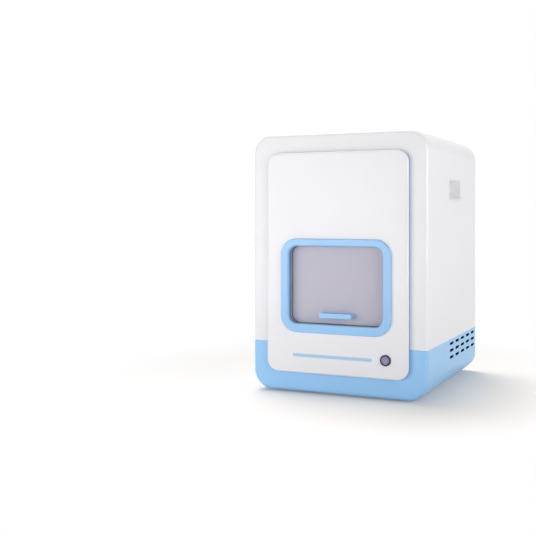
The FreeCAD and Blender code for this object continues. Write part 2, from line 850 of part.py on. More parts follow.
def power_button():
    spot = ("button_centre", PANEL_FACE, BUTTON_Z)
    bore = "(button_cap / 2 + button_ring + seat_gap)"
    stem_bore = "(button_stem / 2 + seat_gap)"
    floor = "(button_rim_height - button_bore_depth)"
    lathe("power_button_barrel", [
        (bore, "button_rim_height"),
        ("button_rim / 2", "button_rim_height"),
        ("button_rim / 2", 0),
        ("button_barrel / 2", 0),
        ("button_barrel / 2", "button_rim_height - button_length"),
        (stem_bore, "button_rim_height - button_length"),
        (stem_bore, floor),
        (bore, floor),
    ], spot, TO_FRONT)
    lathe("power_button_light_ring", [
        (bore, floor),
        (bore, "button_rim_height"),
        (f"{bore} - button_ring", "button_rim_height"),
        (f"{bore} - button_ring", floor),
    ], spot, TO_FRONT)
    cap_bottom = f"({floor} + button_travel + seat_gap)"
    lathe("power_button_cap", [
        (0, "button_rim_height + button_cap_proud"),
        ("button_cap / 2 - button_cap_bevel", "button_rim_height + button_cap_proud"),
        ("button_cap / 2", "button_rim_height + button_cap_proud - button_cap_bevel_height"),
        ("button_cap / 2", cap_bottom),
        ("button_stem / 2", cap_bottom),
        ("button_stem / 2", f"{floor} - button_stem_length"),
        (0, f"{floor} - button_stem_length"),
    ], spot, TO_FRONT)
    prism = doc.addObject("Part::Prism", "power_button_nut_blank")
    prism.Polygon = 6
    bind(prism, Circumradius="nut_flats / sqrt(3)", Height="nut_height")
    seat = ("button_centre", f"{PANEL_FACE} + panel_wall", BUTTON_Z)
    place(prism, seat, TO_REAR)
    hole = rod("power_button_nut_bore", seat, "rear", "button_barrel + 2 * hole_gap", "nut_height")
    node(cut("power_button_nut", prism, [hole]))


# ---- sliding sash

def sash():
    pane = new_body("sash_pane")
    middle = (0, f"{SASH_BOTTOM} + {SASH_HEIGHT} / 2")
    extrude(pane, "XZ", SASH_FACE, "sash_gauge", slab(middle, (SASH_WIDTH, SASH_HEIGHT), "sash_corner"))
    screw_places = [(f"{side} * handle_screw_spacing / 2", HANDLE_MIDDLE) for side in (-1, 1)]
    extrude(pane, "XZ", SASH_FACE, "sash_gauge", *(disc(spot, SMALL_HOLE) for spot in screw_places), cut=True)
    handle = new_body("sash_handle")
    outline = slab((0, HANDLE_MIDDLE), ("handle_width", "handle_height"), "handle_round")
    face = f"{SASH_FACE} - handle_reach"
    extrude(handle, "XZ", face, "handle_reach", outline)
    round_edges(handle, "handle_round / 2", at_level("Y", face))
    tapped = [disc(spot, SMALL_HOLE) for spot in screw_places]
    extrude(handle, "XZ", f"{SASH_FACE} - handle_tap_depth", "handle_tap_depth", *tapped, cut=True)
    seats = [(x, f"{SASH_FACE} + sash_gauge", z) for x, z in screw_places]
    screws("sash_handle_screws", seats, "front", "sash_gauge + handle_tap_depth - blind_gap", "small")


def sash_guides():
    """Rails behind the front wall in which the sash's edges run, with felt on the wall's side."""
    low = f"({SASH_BOTTOM} - bumper_height)"
    length = f"({SASH_HEIGHT} + sash_travel + 2 * bumper_height)"
    wall_back = f"({FRONT} + shell_wall)"
    groove_depth = "(sash_gap + sash_gauge + seat_gap)"
    groove_end = f"({SASH_WIDTH} / 2 + seat_gap)"
    bumpers = []
    for side, sign in (("left", -1), ("right", 1)):
        start = f"({groove_end} - rail_groove)"
        outer_x = start if sign > 0 else f"-({groove_end} + rail_side)"
        groove_x = start if sign > 0 else f"-{groove_end}"
        solid = box(
            f"sash_rail_{side}_solid", (outer_x, wall_back, low),
            ("rail_groove + rail_side", f"{groove_depth} + rail_wall", length),
        )
        groove_size = ("rail_groove", groove_depth, length)
        groove = box(f"sash_rail_{side}_groove", (groove_x, wall_back, low), groove_size)
        node(cut(f"sash_rail_{side}", solid, [groove]))
        felt_size = ("rail_groove", "sash_gap - seat_gap", length)
        node(box(f"sash_liner_{side}", (groove_x, wall_back, low), felt_size))
        for end, z in (("low", low), ("high", f"{low} + {length} - bumper_height + seat_gap")):
            bumpers.append(box(
                f"sash_bumper_{side}_{end}", (groove_x, SASH_FACE, z),
                ("rail_groove", "sash_gauge + seat_gap", "bumper_height - seat_gap"),
            ))
    node(fuse("sash_bumpers", bumpers))


# ---- chassis and imaging chamber

def chassis():
    body = new_body("chassis_base")
    base_front = f"({FRONT} + shell_wall + base_gap)"
    base_rear = f"({REAR_SEAT} - lip_depth - base_gap)"
    plate = slab(
        (0, f"({base_front} + {base_rear}) / 2"),
        ("body_width - 2 * (body_corner + base_gap)", f"{base_rear} - {base_front}"),
    )
    extrude(body, "XY", "foot_height + shell_wall", "base_gauge", plate)
    holes = [disc(spot, SCREW_HOLE) for spot in foot_places()]
    extrude(body, "XY", "foot_height + shell_wall", "base_gauge", *holes, cut=True)
    height = f"({CHAMBER_BOTTOM} - {BASE_TOP})"
    for side, sign in (("left", -1), ("right", 1)):
        inner_x = f"{sign} * (chamber_width / 2 - support_inset)"
        web_x = inner_x if sign > 0 else f"{inner_x} - support_gauge"
        flange_x = inner_x if sign > 0 else f"{inner_x} - support_flange"
        y = f"{STAGE_Y} - support_length / 2"
        flange_size = ("support_flange", "support_length", "support_gauge")
        pieces = [
            box(f"support_{side}_web", (web_x, y, BASE_TOP), ("support_gauge", "support_length", height)),
            box(f"support_{side}_foot", (flange_x, y, BASE_TOP), flange_size),
            box(f"support_{side}_head", (flange_x, y, f"{CHAMBER_BOTTOM} - support_gauge"), flange_size),
        ]
        node(fuse(f"chamber_support_{side}", pieces))


def chamber():
    body = new_body("chamber_liner")
    front = f"{FRONT} + chamber_front"
    middle = (0, f"({CHAMBER_BOTTOM} + {CHAMBER_TOP}) / 2")
    height = f"({CHAMBER_TOP} - {CHAMBER_BOTTOM})"
    extrude(body, "XZ", front, "chamber_depth", slab(middle, ("chamber_width", height)))
    inner = ("chamber_width - 2 * chamber_gauge", f"{height} - 2 * chamber_gauge")
    extrude(body, "XZ", front, "chamber_depth - chamber_gauge", slab(middle, inner), cut=True)
    extrude(body, "XY", CHAMBER_CEILING, "chamber_gauge", disc((0, STAGE_Y), "lens_hole"), cut=True)


def backlight():
    tray = new_body("backlight_tray")
    middle = (0, STAGE_Y)
    extrude(tray, "XY", CHAMBER_FLOOR, "tray_height", slab(middle, ("tray_side", "tray_side"), "tray_corner"))
    well = "tray_side - 2 * tray_wall"
    extrude(
        tray, "XY", f"{CHAMBER_FLOOR} + tray_floor", "tray_height - tray_floor",
        slab(middle, (well, well), "tray_corner - tray_wall"), cut=True,
    )
    seat = "tray_side - 2 * (tray_wall - diffuser_ledge)"
    extrude(
        tray, "XY", f"{STAGE_TOP} - diffuser_gauge", "diffuser_gauge",
        slab(middle, (seat, seat), "tray_corner - tray_wall + diffuser_ledge"), cut=True,
    )
    board = new_body("backlight_board")
    side = f"{well} - 2 * seat_gap"
    board_z = f"({CHAMBER_FLOOR} + tray_floor)"
    corner = "tray_corner - tray_wall"
    extrude(board, "XY", board_z, "board_gauge", slab(middle, (side, side), corner))
    start = f"backlight_led_margin - ({well}) / 2"
    led = slab((start, f"{STAGE_Y} + {start}"), ("led_side", "led_side"))
    first = extrude(board, "XY", f"{board_z} + board_gauge / 2", "board_gauge / 2 + led_height", led)
    grid = board.newObject("PartDesign::LinearPattern", "backlight_led_grid")
    grid.Originals = [first]
    grid.Direction = (first.Profile[0], ["H_Axis"])
    grid.Direction2 = (first.Profile[0], ["V_Axis"])
    span = f"{well} - 2 * backlight_led_margin"
    bind(grid, Length=span, Occurrences="backlight_led_rows")
    bind(grid, Length2=span, Occurrences2="backlight_led_rows")
    board.Tip = grid
    diffuser = new_body("backlight_diffuser")
    width = f"{seat} - 2 * seat_gap"
    extrude(
        diffuser, "XY", f"{STAGE_TOP} - diffuser_gauge", "diffuser_gauge",
        slab(middle, (width, width), "tray_corner - tray_wall + diffuser_ledge - seat_gap"),
    )
    lathe("dish_ring", [
        ("dish_bore / 2", 0),
        ("dish_bore / 2 + dish_ring_width", 0),
        ("dish_bore / 2 + dish_ring_width", "dish_ring_height - dish_ring_bevel"),
        ("dish_bore / 2 + dish_ring_width - dish_ring_bevel", "dish_ring_height"),
        ("dish_bore / 2", "dish_ring_height"),
    ], (0, STAGE_Y, STAGE_TOP))


def top_light():
    outer = "top_light_outer / 2"
    inner = "top_light_inner / 2"
    wall = "top_light_wall"
    lathe("top_light_diffuser", [
        (inner, 0),
        (inner, "-top_light_height"),
        (outer, "-top_light_height"),
        (outer, 0),
        (f"{outer} - {wall}", 0),
        (f"{outer} - {wall}", f"{wall} - top_light_height"),
        (f"{inner} + {wall}", f"{wall} - top_light_height"),
        (f"{inner} + {wall}", 0),
    ], (0, STAGE_Y, CHAMBER_CEILING))
    board = new_body("top_light_board")
    board_outer = f"top_light_outer - 2 * ({wall} + seat_gap)"
    board_inner = f"top_light_inner + 2 * ({wall} + seat_gap)"
    extrude(board, "XY", "-board_gauge", "board_gauge", disc((0, 0), board_outer), disc((0, 0), board_inner))
    led = slab(("(top_light_outer + top_light_inner) / 4", 0), ("led_side", "led_side"))
    first = extrude(board, "XY", "-board_gauge - led_height", "led_height + board_gauge / 2", led)
    ring = board.newObject("PartDesign::PolarPattern", "top_light_led_ring")
    ring.Originals = [first]
    ring.Axis = (first.Profile[0], ["N_Axis"])
    ring.Angle = 360
    bind(ring, Occurrences="led_count")
    board.Tip = ring
    place(board, (0, STAGE_Y, CHAMBER_CEILING))


# ---- camera

def camera_screw_places():
    return [
        (f"{side} * camera_screw_spacing / 2", f"{STAGE_Y} + {end} * camera_screw_spacing / 2")
        for side in (-1, 1)
        for end in (-1, 1)
    ]


def camera():
    half = "bridge_span / 2"
    plate = centred_box(
        "bridge_plate", (0, STAGE_Y, f"{CAMERA_SEAT} - bridge_gauge"),
        ("bridge_width", "bridge_span", "bridge_gauge"),
    )
    parts = [plate]
    for name, sign in (("front", -1), ("rear", 1)):
        leg_y = f"{STAGE_Y} + {sign} * ({half} - bridge_gauge / 2)"
        foot_y = f"{STAGE_Y} + {sign} * ({half} + bridge_foot / 2 - bridge_gauge)"
        parts.append(centred_box(
            f"bridge_leg_{name}", (0, leg_y, CHAMBER_TOP), ("bridge_width", "bridge_gauge", "bridge_height"),
        ))
        parts.append(centred_box(
            f"bridge_foot_{name}", (0, foot_y, CHAMBER_TOP), ("bridge_width", "bridge_foot", "bridge_gauge"),
        ))
    seat = f"{CAMERA_SEAT} - bridge_gauge"
    holes = [rod("bridge_lens_hole", (0, STAGE_Y, seat), "up", "lens_thread + loose_gap", "bridge_gauge")]
    for i, (x, y) in enumerate(camera_screw_places()):
        holes.append(rod(f"bridge_screw_hole_{i}", (x, y, seat), "up", SMALL_HOLE, "bridge_gauge"))
    node(cut("camera_bracket", fuse("bridge_solid", parts), holes))

    body = new_body("camera_body")
    side = ("camera_side", "camera_side")
    extrude(body, "XY", CAMERA_SEAT, "camera_height", slab((0, STAGE_Y), side, "camera_corner"))
    round_edges(body, "camera_corner / 2", at_level("Z", f"{CAMERA_SEAT} + camera_height"))
    mouth = disc((0, STAGE_Y), "lens_thread + 2 * hole_gap")
    extrude(body, "XY", CAMERA_SEAT, "lens_thread_length + blind_gap", mouth, cut=True)
    tapped = [disc(spot, SMALL_HOLE) for spot in camera_screw_places()]
    extrude(body, "XY", CAMERA_SEAT, "camera_tap_depth", *tapped, cut=True)
    socket = disc((0, STAGE_Y), "camera_socket")
    top = f"{CAMERA_SEAT} + camera_height"
    extrude(body, "XY", f"{top} - blind_gap", "camera_socket_height + blind_gap", socket)
    seats = [(x, y, seat) for x, y in camera_screw_places()]
    screws("camera_screws", seats, "up", "bridge_gauge + camera_tap_depth - blind_gap", "small")


def lens():
    """The lens hangs from the camera's seat; its heights run down from there."""
    spot = (0, STAGE_Y, CAMERA_SEAT)
    shoulder = "(-bridge_gauge)"
    focus_top = f"({shoulder} - lens_top_length)"
    focus_low = f"({focus_top} - focus_ring_height)"
    iris_top = f"({focus_low} - lens_middle_length)"
    iris_low = f"({iris_top} - iris_ring_height)"
    nose = f"({iris_low} - lens_nose_length)"
    thread, outer, neck, bore = (
        f"{name} / 2" for name in ("lens_thread", "lens_diameter", "lens_neck", "lens_bore")
    )
    lathe("lens_barrel", [
        (bore, "lens_thread_length"),
        (thread, "lens_thread_length"),
        (thread, shoulder),
        (outer, shoulder),
        (outer, focus_top),
        (neck, focus_top),
        (neck, focus_low),
        (outer, focus_low),
        (outer, iris_top),
        (neck, iris_top),
        (neck, iris_low),
        (outer, iris_low),
        (outer, nose),
        (bore, nose),
    ], spot)
    for name, high, low in (("focus", focus_top, focus_low), ("iris", iris_top, iris_low)):
        lathe(f"lens_{name}_ring", [
            (f"{neck} + run_gap", f"{high} - seat_gap"),
            ("lens_ring_outer / 2", f"{high} - seat_gap"),
            ("lens_ring_outer / 2", f"{low} + seat_gap"),
            (f"{neck} + run_gap", f"{low} + seat_gap"),
        ], spot)
    glass = f"{bore} - hole_gap"
    lathe("lens_glass", [
        (0, f"{nose} + glass_set_back"),
        (glass, f"{nose} + glass_set_back"),
        (glass, f"{nose} + glass_set_back + glass_gauge"),
        (0, f"{nose} + glass_set_back + glass_gauge"),
    ], spot)


# ---- electronics

def board_hole_places(x, y, width, depth):
    return [
        (f"({x}) + {i} * ({width} / 2 - board_hole_inset)", f"({y}) + {j} * ({depth} / 2 - board_hole_inset)")
        for i in (-1, 1)
        for j in (-1, 1)
    ]


def board(label, x, y, width, depth, parts):
    """A circuit board on standoffs, with parts given as (x share, y share, width, depth, height)."""
    body = new_body(label)
    extrude(body, "XY", BOARD_BOTTOM, "board_gauge", slab((x, y), (width, depth)))
    for across, along, part_width, part_depth, part_height in parts:
        spot = (f"({x}) + {across} * {width}", f"({y}) + {along} * {depth}")
        outline = slab(spot, (part_width, part_depth))
        extrude(body, "XY", f"{BOARD_BOTTOM} + board_gauge / 2", f"board_gauge / 2 + {part_height}", outline)


def electronics():
    main = (0, MAIN_BOARD_Y, "main_board_width", "main_board_depth")
    driver = ("driver_board_x", DRIVER_BOARD_Y, "driver_board_width", "driver_board_depth")
    board("main_board", *main, [
        (0.05, 0.05, "processor_side", "processor_side", "processor_height"),
        (-0.28, -0.2, "memory_width", "memory_depth", "memory_height"),
        (0.3, -0.25, "header_width", "header_depth", "header_height"),
        (0.3, 0.2, "coil_side", "coil_side", "coil_height"),
    ])
    board("led_driver_board", *driver, [
        (-0.2, 0, "driver_coil_side", "driver_coil_side", "driver_coil_height"),
        (0.22, 0.15, "driver_header_width", "driver_header_depth", "driver_header_height"),
    ])
    standoffs = [
        rod(f"standoff_{i}", (x, y, BASE_TOP), "up", "standoff_diameter", "standoff_height")
        for i, (x, y) in enumerate(board_hole_places(*main) + board_hole_places(*driver))
    ]
    node(fuse("board_standoffs", standoffs))
    supply = new_body("power_supply")
    middle = ("supply_x", f"{FRONT} + supply_y")
    outline = slab(middle, ("supply_width", "supply_depth"), "supply_corner")
    extrude(supply, "XY", BASE_TOP, "supply_height", outline)


# ---- rear connections

def power_inlet():
    body = new_body("power_inlet")
    flange = slab((INLET_X, INLET_Z), ("inlet_width", "inlet_height"), "inlet_corner")
    extrude(body, "XZ", REAR, "inlet_flange", flange)
    trunk = slab((INLET_X, INLET_Z), ("inlet_body_width", "inlet_body_height"))
    extrude(body, "XZ", f"{REAR} - inlet_body_depth", "inlet_body_depth + inlet_flange / 2", trunk)
    face = f"({REAR} + inlet_flange)"
    socket_x = f"({INLET_X} + socket_offset)"
    socket = slab((socket_x, INLET_Z), ("socket_width", "socket_height"), "socket_corner")
    extrude(body, "XZ", f"{face} - socket_depth", "socket_depth", socket, cut=True)
    drawer_x = f"({INLET_X} + drawer_offset)"
    gap = "2 * seat_gap"
    slot = slab((drawer_x, INLET_Z), (f"drawer_width + {gap}", f"drawer_height + {gap}"))
    extrude(body, "XZ", f"{face} - drawer_depth - seat_gap", "drawer_depth + seat_gap", slot, cut=True)
    pins = []
    for i, (across, up) in enumerate(((-0.5, "-pin_drop"), (0, "pin_rise"), (0.5, "-pin_drop"))):
        x = f"{socket_x} + {across} * pin_spacing"
        z = f"{INLET_Z} + {up}"
        corner = (f"{x} - pin_gauge / 2", f"{face} - socket_depth", f"{z} - pin_width / 2")
        pins.append(box(f"inlet_pin_{i}", corner, ("pin_gauge", "pin_length", "pin_width")))
    node(fuse("inlet_pins", pins))
    low_x = f"{drawer_x} - drawer_width / 2"
    carrier = box(
        "fuse_drawer_carrier", (low_x, f"{face} - drawer_depth", f"{INLET_Z} - drawer_height / 2"),
        ("drawer_width", "drawer_depth", "drawer_height"),
    )
    ridge = box(
        "fuse_drawer_ridge", (f"{low_x} + drawer_ridge_inset", face, f"{INLET_Z} - drawer_ridge / 2"),
        ("drawer_width - 2 * drawer_ridge_inset", "rear_proud - inlet_flange", "drawer_ridge"),
    )
    bay_y = f"{face} - drawer_depth + drawer_bay_wall"
    bay = box(
        "fuse_drawer_bay", (f"{low_x} + drawer_bay_wall", bay_y, f"{INLET_Z} - drawer_bay_height / 2"),
        ("drawer_width", "drawer_depth - 2 * drawer_bay_wall", "drawer_bay_height"),
    )
    node(cut("fuse_drawer", fuse("fuse_drawer_solid", [carrier, ridge]), [bay]))


def rocker_switch():
    """A rocker in its frame; at rest its upper half is pressed in, and it turns about the pin."""
    frame = new_body("rocker_frame")
    middle = (SWITCH_X, INLET_Z)
    flange = slab(middle, ("switch_width", "switch_height"), "switch_corner")
    extrude(frame, "XZ", REAR, "switch_flange", flange)
    trunk = slab(middle, ("switch_body_width", "switch_body_height"))
    extrude(frame, "XZ", f"{REAR} - switch_body_depth", "switch_body_depth + switch_flange / 2", trunk)
    well = slab(middle, ("switch_body_width - 2 * switch_wall", "switch_body_height - 2 * switch_wall"))
    deep = "(rocker_depth + 2 * rocker_back)"
    extrude(frame, "XZ", f"{REAR} + switch_flange - {deep}", deep, well, cut=True)
    pivot = f"({REAR} + switch_flange - rocker_depth / 2)"
    hole = disc((pivot, INLET_Z), "rocker_pin + 2 * run_gap")
    extrude(frame, "YZ", f"{SWITCH_X} - switch_body_width / 2", "switch_body_width", hole, cut=True)

    key = new_body("rocker_key")
    width = "(switch_body_width - 2 * switch_wall - 2 * seat_gap)"
    outline = polygon([
        ("rocker_back - rocker_depth / 2", "-rocker_height / 2"),
        ("rocker_depth / 2 + rocker_proud", "-rocker_height / 2"),
        ("rocker_depth / 2", 0),
        ("rocker_depth / 2 - rocker_dip", "rocker_height / 2"),
        ("rocker_back - rocker_depth / 2", "rocker_height / 2"),
    ])
    extrude(key, "YZ", f"-{width} / 2", width, outline)
    pin_length = "(switch_body_width - 2 * rocker_pin_inset)"
    extrude(key, "YZ", f"-{pin_length} / 2", pin_length, disc((0, 0), "rocker_pin"))
    place(key, (SWITCH_X, pivot, INLET_Z))


def port_middle():
    return f"({BOARD_BOTTOM} + board_gauge + port_height / 2)"


def usb_port():
    body = new_body("usb_port")
    size = ("port_width", "port_height")
    back = f"({REAR} + port_proud - port_depth)"
    extrude(body, "XZ", back, "port_depth", slab(("port_offset", port_middle()), size, "port_corner"))
    inner = tuple(f"{side} - 2 * port_wall" for side in size)
    extrude(
        body, "XZ", f"{back} + port_back", "port_depth - port_back",
        slab(("port_offset", port_middle()), inner), cut=True,
    )
    tongue = slab(("port_offset", port_middle()), ("tongue_width", "tongue_height"))
    extrude(body, "XZ", f"{back} + port_back / 2", "port_depth - port_back / 2 - tongue_set_back", tongue)


# ---- fan

def fan_hole_places():
    return [
        (f"{side} * fan_hole_spacing / 2", f"{FAN_Z} + {end} * fan_hole_spacing / 2")
        for side in (-1, 1)
        for end in (-1, 1)
    ]


def fan():
    frame = new_body("fan_frame")
    inside = f"({REAR_SEAT} - fan_depth)"
    middle = (0, FAN_Z)
    extrude(frame, "XZ", inside, "fan_depth", slab(middle, ("fan_side", "fan_side"), "fan_corner"))
    bores = [disc(middle, "fan_bore")] + [disc(spot, SCREW_HOLE) for spot in fan_hole_places()]
    extrude(frame, "XZ", inside, "fan_depth", *bores, cut=True)
    extrude(frame, "XZ", inside, "fan_strut", disc(middle, "fan_hub"))
    strut = "(fan_side + fan_bore) / 2"
    extrude(frame, "XZ", inside, "fan_strut", slab(middle, (strut, "fan_strut")))
    extrude(frame, "XZ", inside, "fan_strut", slab(middle, ("fan_strut", strut)))
    extrude(frame, "XZ", inside, "fan_strut", disc(middle, "rotor_shaft + 2 * run_gap"), cut=True)

    rotor = new_body("fan_rotor")
    extrude(rotor, "XY", 0, "rotor_depth", disc((0, 0), "rotor_hub"))
    round_edges(rotor, "rotor_round", at_level("Z", "rotor_depth"))
    extrude(rotor, "XY", "-fan_strut", "fan_strut + rotor_depth / 2", disc((0, 0), "rotor_shaft"))
    low = "(rotor_depth - rotor_pitch_height) / 2"
    root = "(rotor_hub / 2 - rotor_shaft / 2)"
    first = extrude(rotor, "YZ", root, f"rotor_tip - {root}", polygon([
        ("-rotor_chord / 2", low),
        ("-rotor_chord / 2", f"{low} + rotor_blade"),
        ("rotor_chord / 2", f"{low} + rotor_pitch_height"),
        ("rotor_chord / 2", f"{low} + rotor_pitch_height - rotor_blade"),
    ]))
    blades = rotor.newObject("PartDesign::PolarPattern", "fan_blades")
    blades.Originals = [first]
    axis = next(f for f in rotor.Origin.OriginFeatures if f.Role == "Z_Axis")
    blades.Axis = (axis, [""])
    blades.Angle = 360
    bind(blades, Occurrences="blade_count")
    rotor.Tip = blades
    place(rotor, (0, f"{inside} + fan_strut + seat_gap", FAN_Z), TO_REAR)


def fan_guard():
    """Wire rings welded on two struts, whose ends are eyes under the fan's screws."""
    parts = []
    strut_y = f"{REAR} + guard_wire / 2"
    ring_y = f"{REAR} + 1.5 * guard_wire - guard_weld"
    for i in range(int(number("guard_rings"))):
        ring = doc.addObject("Part::Torus", f"guard_ring_{i}")
        bind(ring, Radius1=f"guard_inner + {i} * guard_pitch", Radius2="guard_wire / 2")
        place(ring, (0, ring_y, FAN_Z), TO_REAR)
        parts.append(ring)
    for i, angle in enumerate((45, -45)):
        strut = doc.addObject("Part::Cylinder", f"guard_strut_{i}")
        bind(strut, Radius="guard_wire / 2", Height="fan_hole_spacing * sqrt(2)")
        side = -1 if angle > 0 else 1
        end = (f"{side} * fan_hole_spacing / 2", strut_y, f"{FAN_Z} - fan_hole_spacing / 2")
        place(strut, end, ((0, 1, 0), angle))
        parts.append(strut)
    eyes = []
    for i, (x, z) in enumerate(fan_hole_places()):
        parts.append(rod(f"guard_eye_{i}", (x, REAR, z), "rear", "screw_head + loose_gap", "guard_wire"))
        eyes.append(rod(f"guard_hole_{i}", (x, REAR, z), "rear", SCREW_HOLE, "guard_wire"))
    node(cut("fan_guard", fuse("fan_guard_solid", parts), eyes))
    seats = [(x, f"{REAR} + guard_wire", z) for x, z in fan_hole_places()]
    screws("fan_screws", seats, "front", "guard_wire + rear_gauge + fan_screw_grip")


# ---- build, check and write

def build():
    upper_housing()
    lower_housing()
    for side, sign in (("left", -1), ("right", 1)):
        grip_cup(side, sign)
        seam_bracket(side, sign)
    rear_panel()
    feet()
    front_panel()
    accent_strip()
    window_bezel()
    power_button()
    sash()
    sash_guides()
    chassis()
    chamber()
    backlight()
    top_light()
    camera()
    lens()
    electronics()
    power_inlet()
    rocker_switch()
    usb_port()
    fan()
    fan_guard()
    doc.recompute()


def check():
    """Stops if an object failed, a cut removed nothing, or a sub-part isn't a sound solid."""
    for item in doc.Objects:
        bad = {"Invalid", "Error"} & set(item.State)
        if bad:
            raise RuntimeError(f"{item.Label}: {sorted(bad)}")
    for item in doc.Objects:
        if item.TypeId == "PartDesign::Pocket":
            before = item.BaseFeature.Shape.Volume
            if before - item.Shape.Volume < 0.01:
                raise RuntimeError(f"{item.Label} cuts nothing")
    for item in finished:
        if item.Shape.isNull() or not item.Shape.isValid() or not item.Shape.Solids:
            raise RuntimeError(f"{item.Label} isn't a sound solid")


def write():
    os.makedirs("parts", exist_ok=True)
    for item in finished:
        item.Shape.exportStep(f"parts/{item.Label}.step")
        print(f"{item.Label}: {len(item.Shape.Solids)} solid(s), {item.Shape.Volume / 1000:.1f} cm3")


build()
check()
write()
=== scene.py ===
import json
import math

import bmesh
import bpy
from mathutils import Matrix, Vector
from mathutils.bvhtree import BVHTree


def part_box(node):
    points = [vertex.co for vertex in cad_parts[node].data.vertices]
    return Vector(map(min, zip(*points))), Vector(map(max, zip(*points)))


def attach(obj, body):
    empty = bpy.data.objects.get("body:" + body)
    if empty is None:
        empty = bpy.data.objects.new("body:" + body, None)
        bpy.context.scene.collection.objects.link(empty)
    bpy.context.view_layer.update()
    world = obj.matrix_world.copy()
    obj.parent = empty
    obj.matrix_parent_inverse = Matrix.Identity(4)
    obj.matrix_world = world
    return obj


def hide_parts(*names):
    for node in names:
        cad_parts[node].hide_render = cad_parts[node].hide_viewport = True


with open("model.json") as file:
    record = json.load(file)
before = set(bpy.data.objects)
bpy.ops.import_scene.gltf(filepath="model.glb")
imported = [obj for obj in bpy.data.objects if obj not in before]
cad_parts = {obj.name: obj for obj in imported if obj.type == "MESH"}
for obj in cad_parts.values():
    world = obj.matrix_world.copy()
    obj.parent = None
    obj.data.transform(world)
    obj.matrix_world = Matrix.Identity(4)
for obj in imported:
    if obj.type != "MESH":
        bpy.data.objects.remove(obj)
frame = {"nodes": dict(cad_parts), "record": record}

# Looks of the bench-top colony counter. Everything is in metres, in the CAD model's own frame:
# X to the right, Y to the rear, Z up, with the feet standing on Z = 0.

scene = bpy.context.scene
bpy.context.view_layer.update()
MM = 0.001
BODY_OF = {
    node: body
    for body, members in frame["record"]["behaviour"]["bodies"].items()
    for node in members
}


# ---- camera, floor and light

# The camera looks level and is shifted, so that the cabinet's upright edges stay parallel.
CAMERA_PLACE = (0.6444, -1.6954, 0.3632)
CAMERA_TURN = 0.400
CAMERA_LENS = 55.08
CAMERA_SENSOR = 36
CAMERA_SHIFT = (-0.134, -0.098)

# The point that the lamps face, near the cabinet's middle.
AIM = Vector((0, 0, 0.27))

# The world's light on the object, as a strength and a faint warm tint.
AMBIENT = 0.25
AMBIENT_TINT = (1.0, 0.99, 0.98)

# The floor's colour where it is seen near the object, and as it lights the object from below.
FLOOR_SEEN = (1.0, 0.955, 0.915)
FLOOR_BOUNCE = (0.78, 0.76, 0.745)

# Where the seen floor starts and ends its fade to plain white, and the share of white it starts from.
FLOOR_FADE = (0.33, 0.72)
FLOOR_LEAST_WHITE = 0.14


def add_camera():
    """A camera at the front right, at the height of the cabinet's upper half."""
    data = bpy.data.cameras.new("camera")
    data.lens = CAMERA_LENS
    data.sensor_width = CAMERA_SENSOR
    data.shift_x, data.shift_y = CAMERA_SHIFT
    camera = bpy.data.objects.new("camera", data)
    camera.location = CAMERA_PLACE
    camera.rotation_euler = (math.radians(90), 0, CAMERA_TURN)
    scene.collection.objects.link(camera)
    scene.camera = camera


def towards(azimuth, elevation):
    """A direction: azimuth 0 is the front, 90 the right side, and elevation 90 straight up."""
    a, e = math.radians(azimuth), math.radians(elevation)
    return Vector((math.sin(a) * math.cos(e), -math.cos(a) * math.cos(e), math.sin(e)))


def add_lamp(name, kind, azimuth, elevation, energy, distance=3.0):
    """A lamp that faces the aim point from a direction, and isn't seen itself."""
    data = bpy.data.lights.new(name, kind)
    data.energy = energy
    lamp = bpy.data.objects.new(name, data)
    way = towards(azimuth, elevation)
    lamp.location = AIM + way * distance
    lamp.rotation_mode = "QUATERNION"
    lamp.rotation_quaternion = way.to_track_quat("Z", "Y")
    lamp.visible_camera = False
    scene.collection.objects.link(lamp)
    return lamp


def add_sun(name, azimuth, elevation, strength, spread):
    """A sun whose disc is spread degrees wide, so that its shadows are soft."""
    add_lamp(name, "SUN", azimuth, elevation, strength).data.angle = math.radians(spread)


def add_softbox(name, azimuth, elevation, strength, distance, width, height=None):
    """An area lamp that lights the object about as a sun of that strength does."""
    lamp = add_lamp(name, "AREA", azimuth, elevation, strength * math.pi * distance ** 2, distance)
    lamp.data.shape = "RECTANGLE"
    lamp.data.size = width
    lamp.data.size_y = height or width
    return lamp


def seen_directly(tree):
    """One for a ray from the camera, from a mirror or through glass, and zero for scattered light."""
    path = tree.nodes.new("ShaderNodeLightPath")
    total = path.outputs["Is Camera Ray"]
    for name in ("Is Glossy Ray", "Is Transmission Ray"):
        either = tree.nodes.new("ShaderNodeMath")
        either.operation = "MAXIMUM"
        tree.links.new(total, either.inputs[0])
        tree.links.new(path.outputs[name], either.inputs[1])
        total = either.outputs[0]
    return total


def add_world():
    """Even pale light, with a white backdrop wherever the world itself is seen."""
    world = bpy.data.worlds.new("studio")
    world.use_nodes = True
    tree = world.node_tree
    tree.nodes.clear()
    mix = tree.nodes.new("ShaderNodeMixShader")
    tree.links.new(seen_directly(tree), mix.inputs[0])
    for slot, colour, strength in ((1, AMBIENT_TINT, AMBIENT), (2, (1, 1, 1), 1.0)):
        background = tree.nodes.new("ShaderNodeBackground")
        background.inputs["Color"].default_value = (*colour, 1)
        background.inputs["Strength"].default_value = strength
        tree.links.new(background.outputs[0], mix.inputs[slot])
    output = tree.nodes.new("ShaderNodeOutputWorld")
    tree.links.new(mix.outputs[0], output.inputs[0])
    scene.world = world


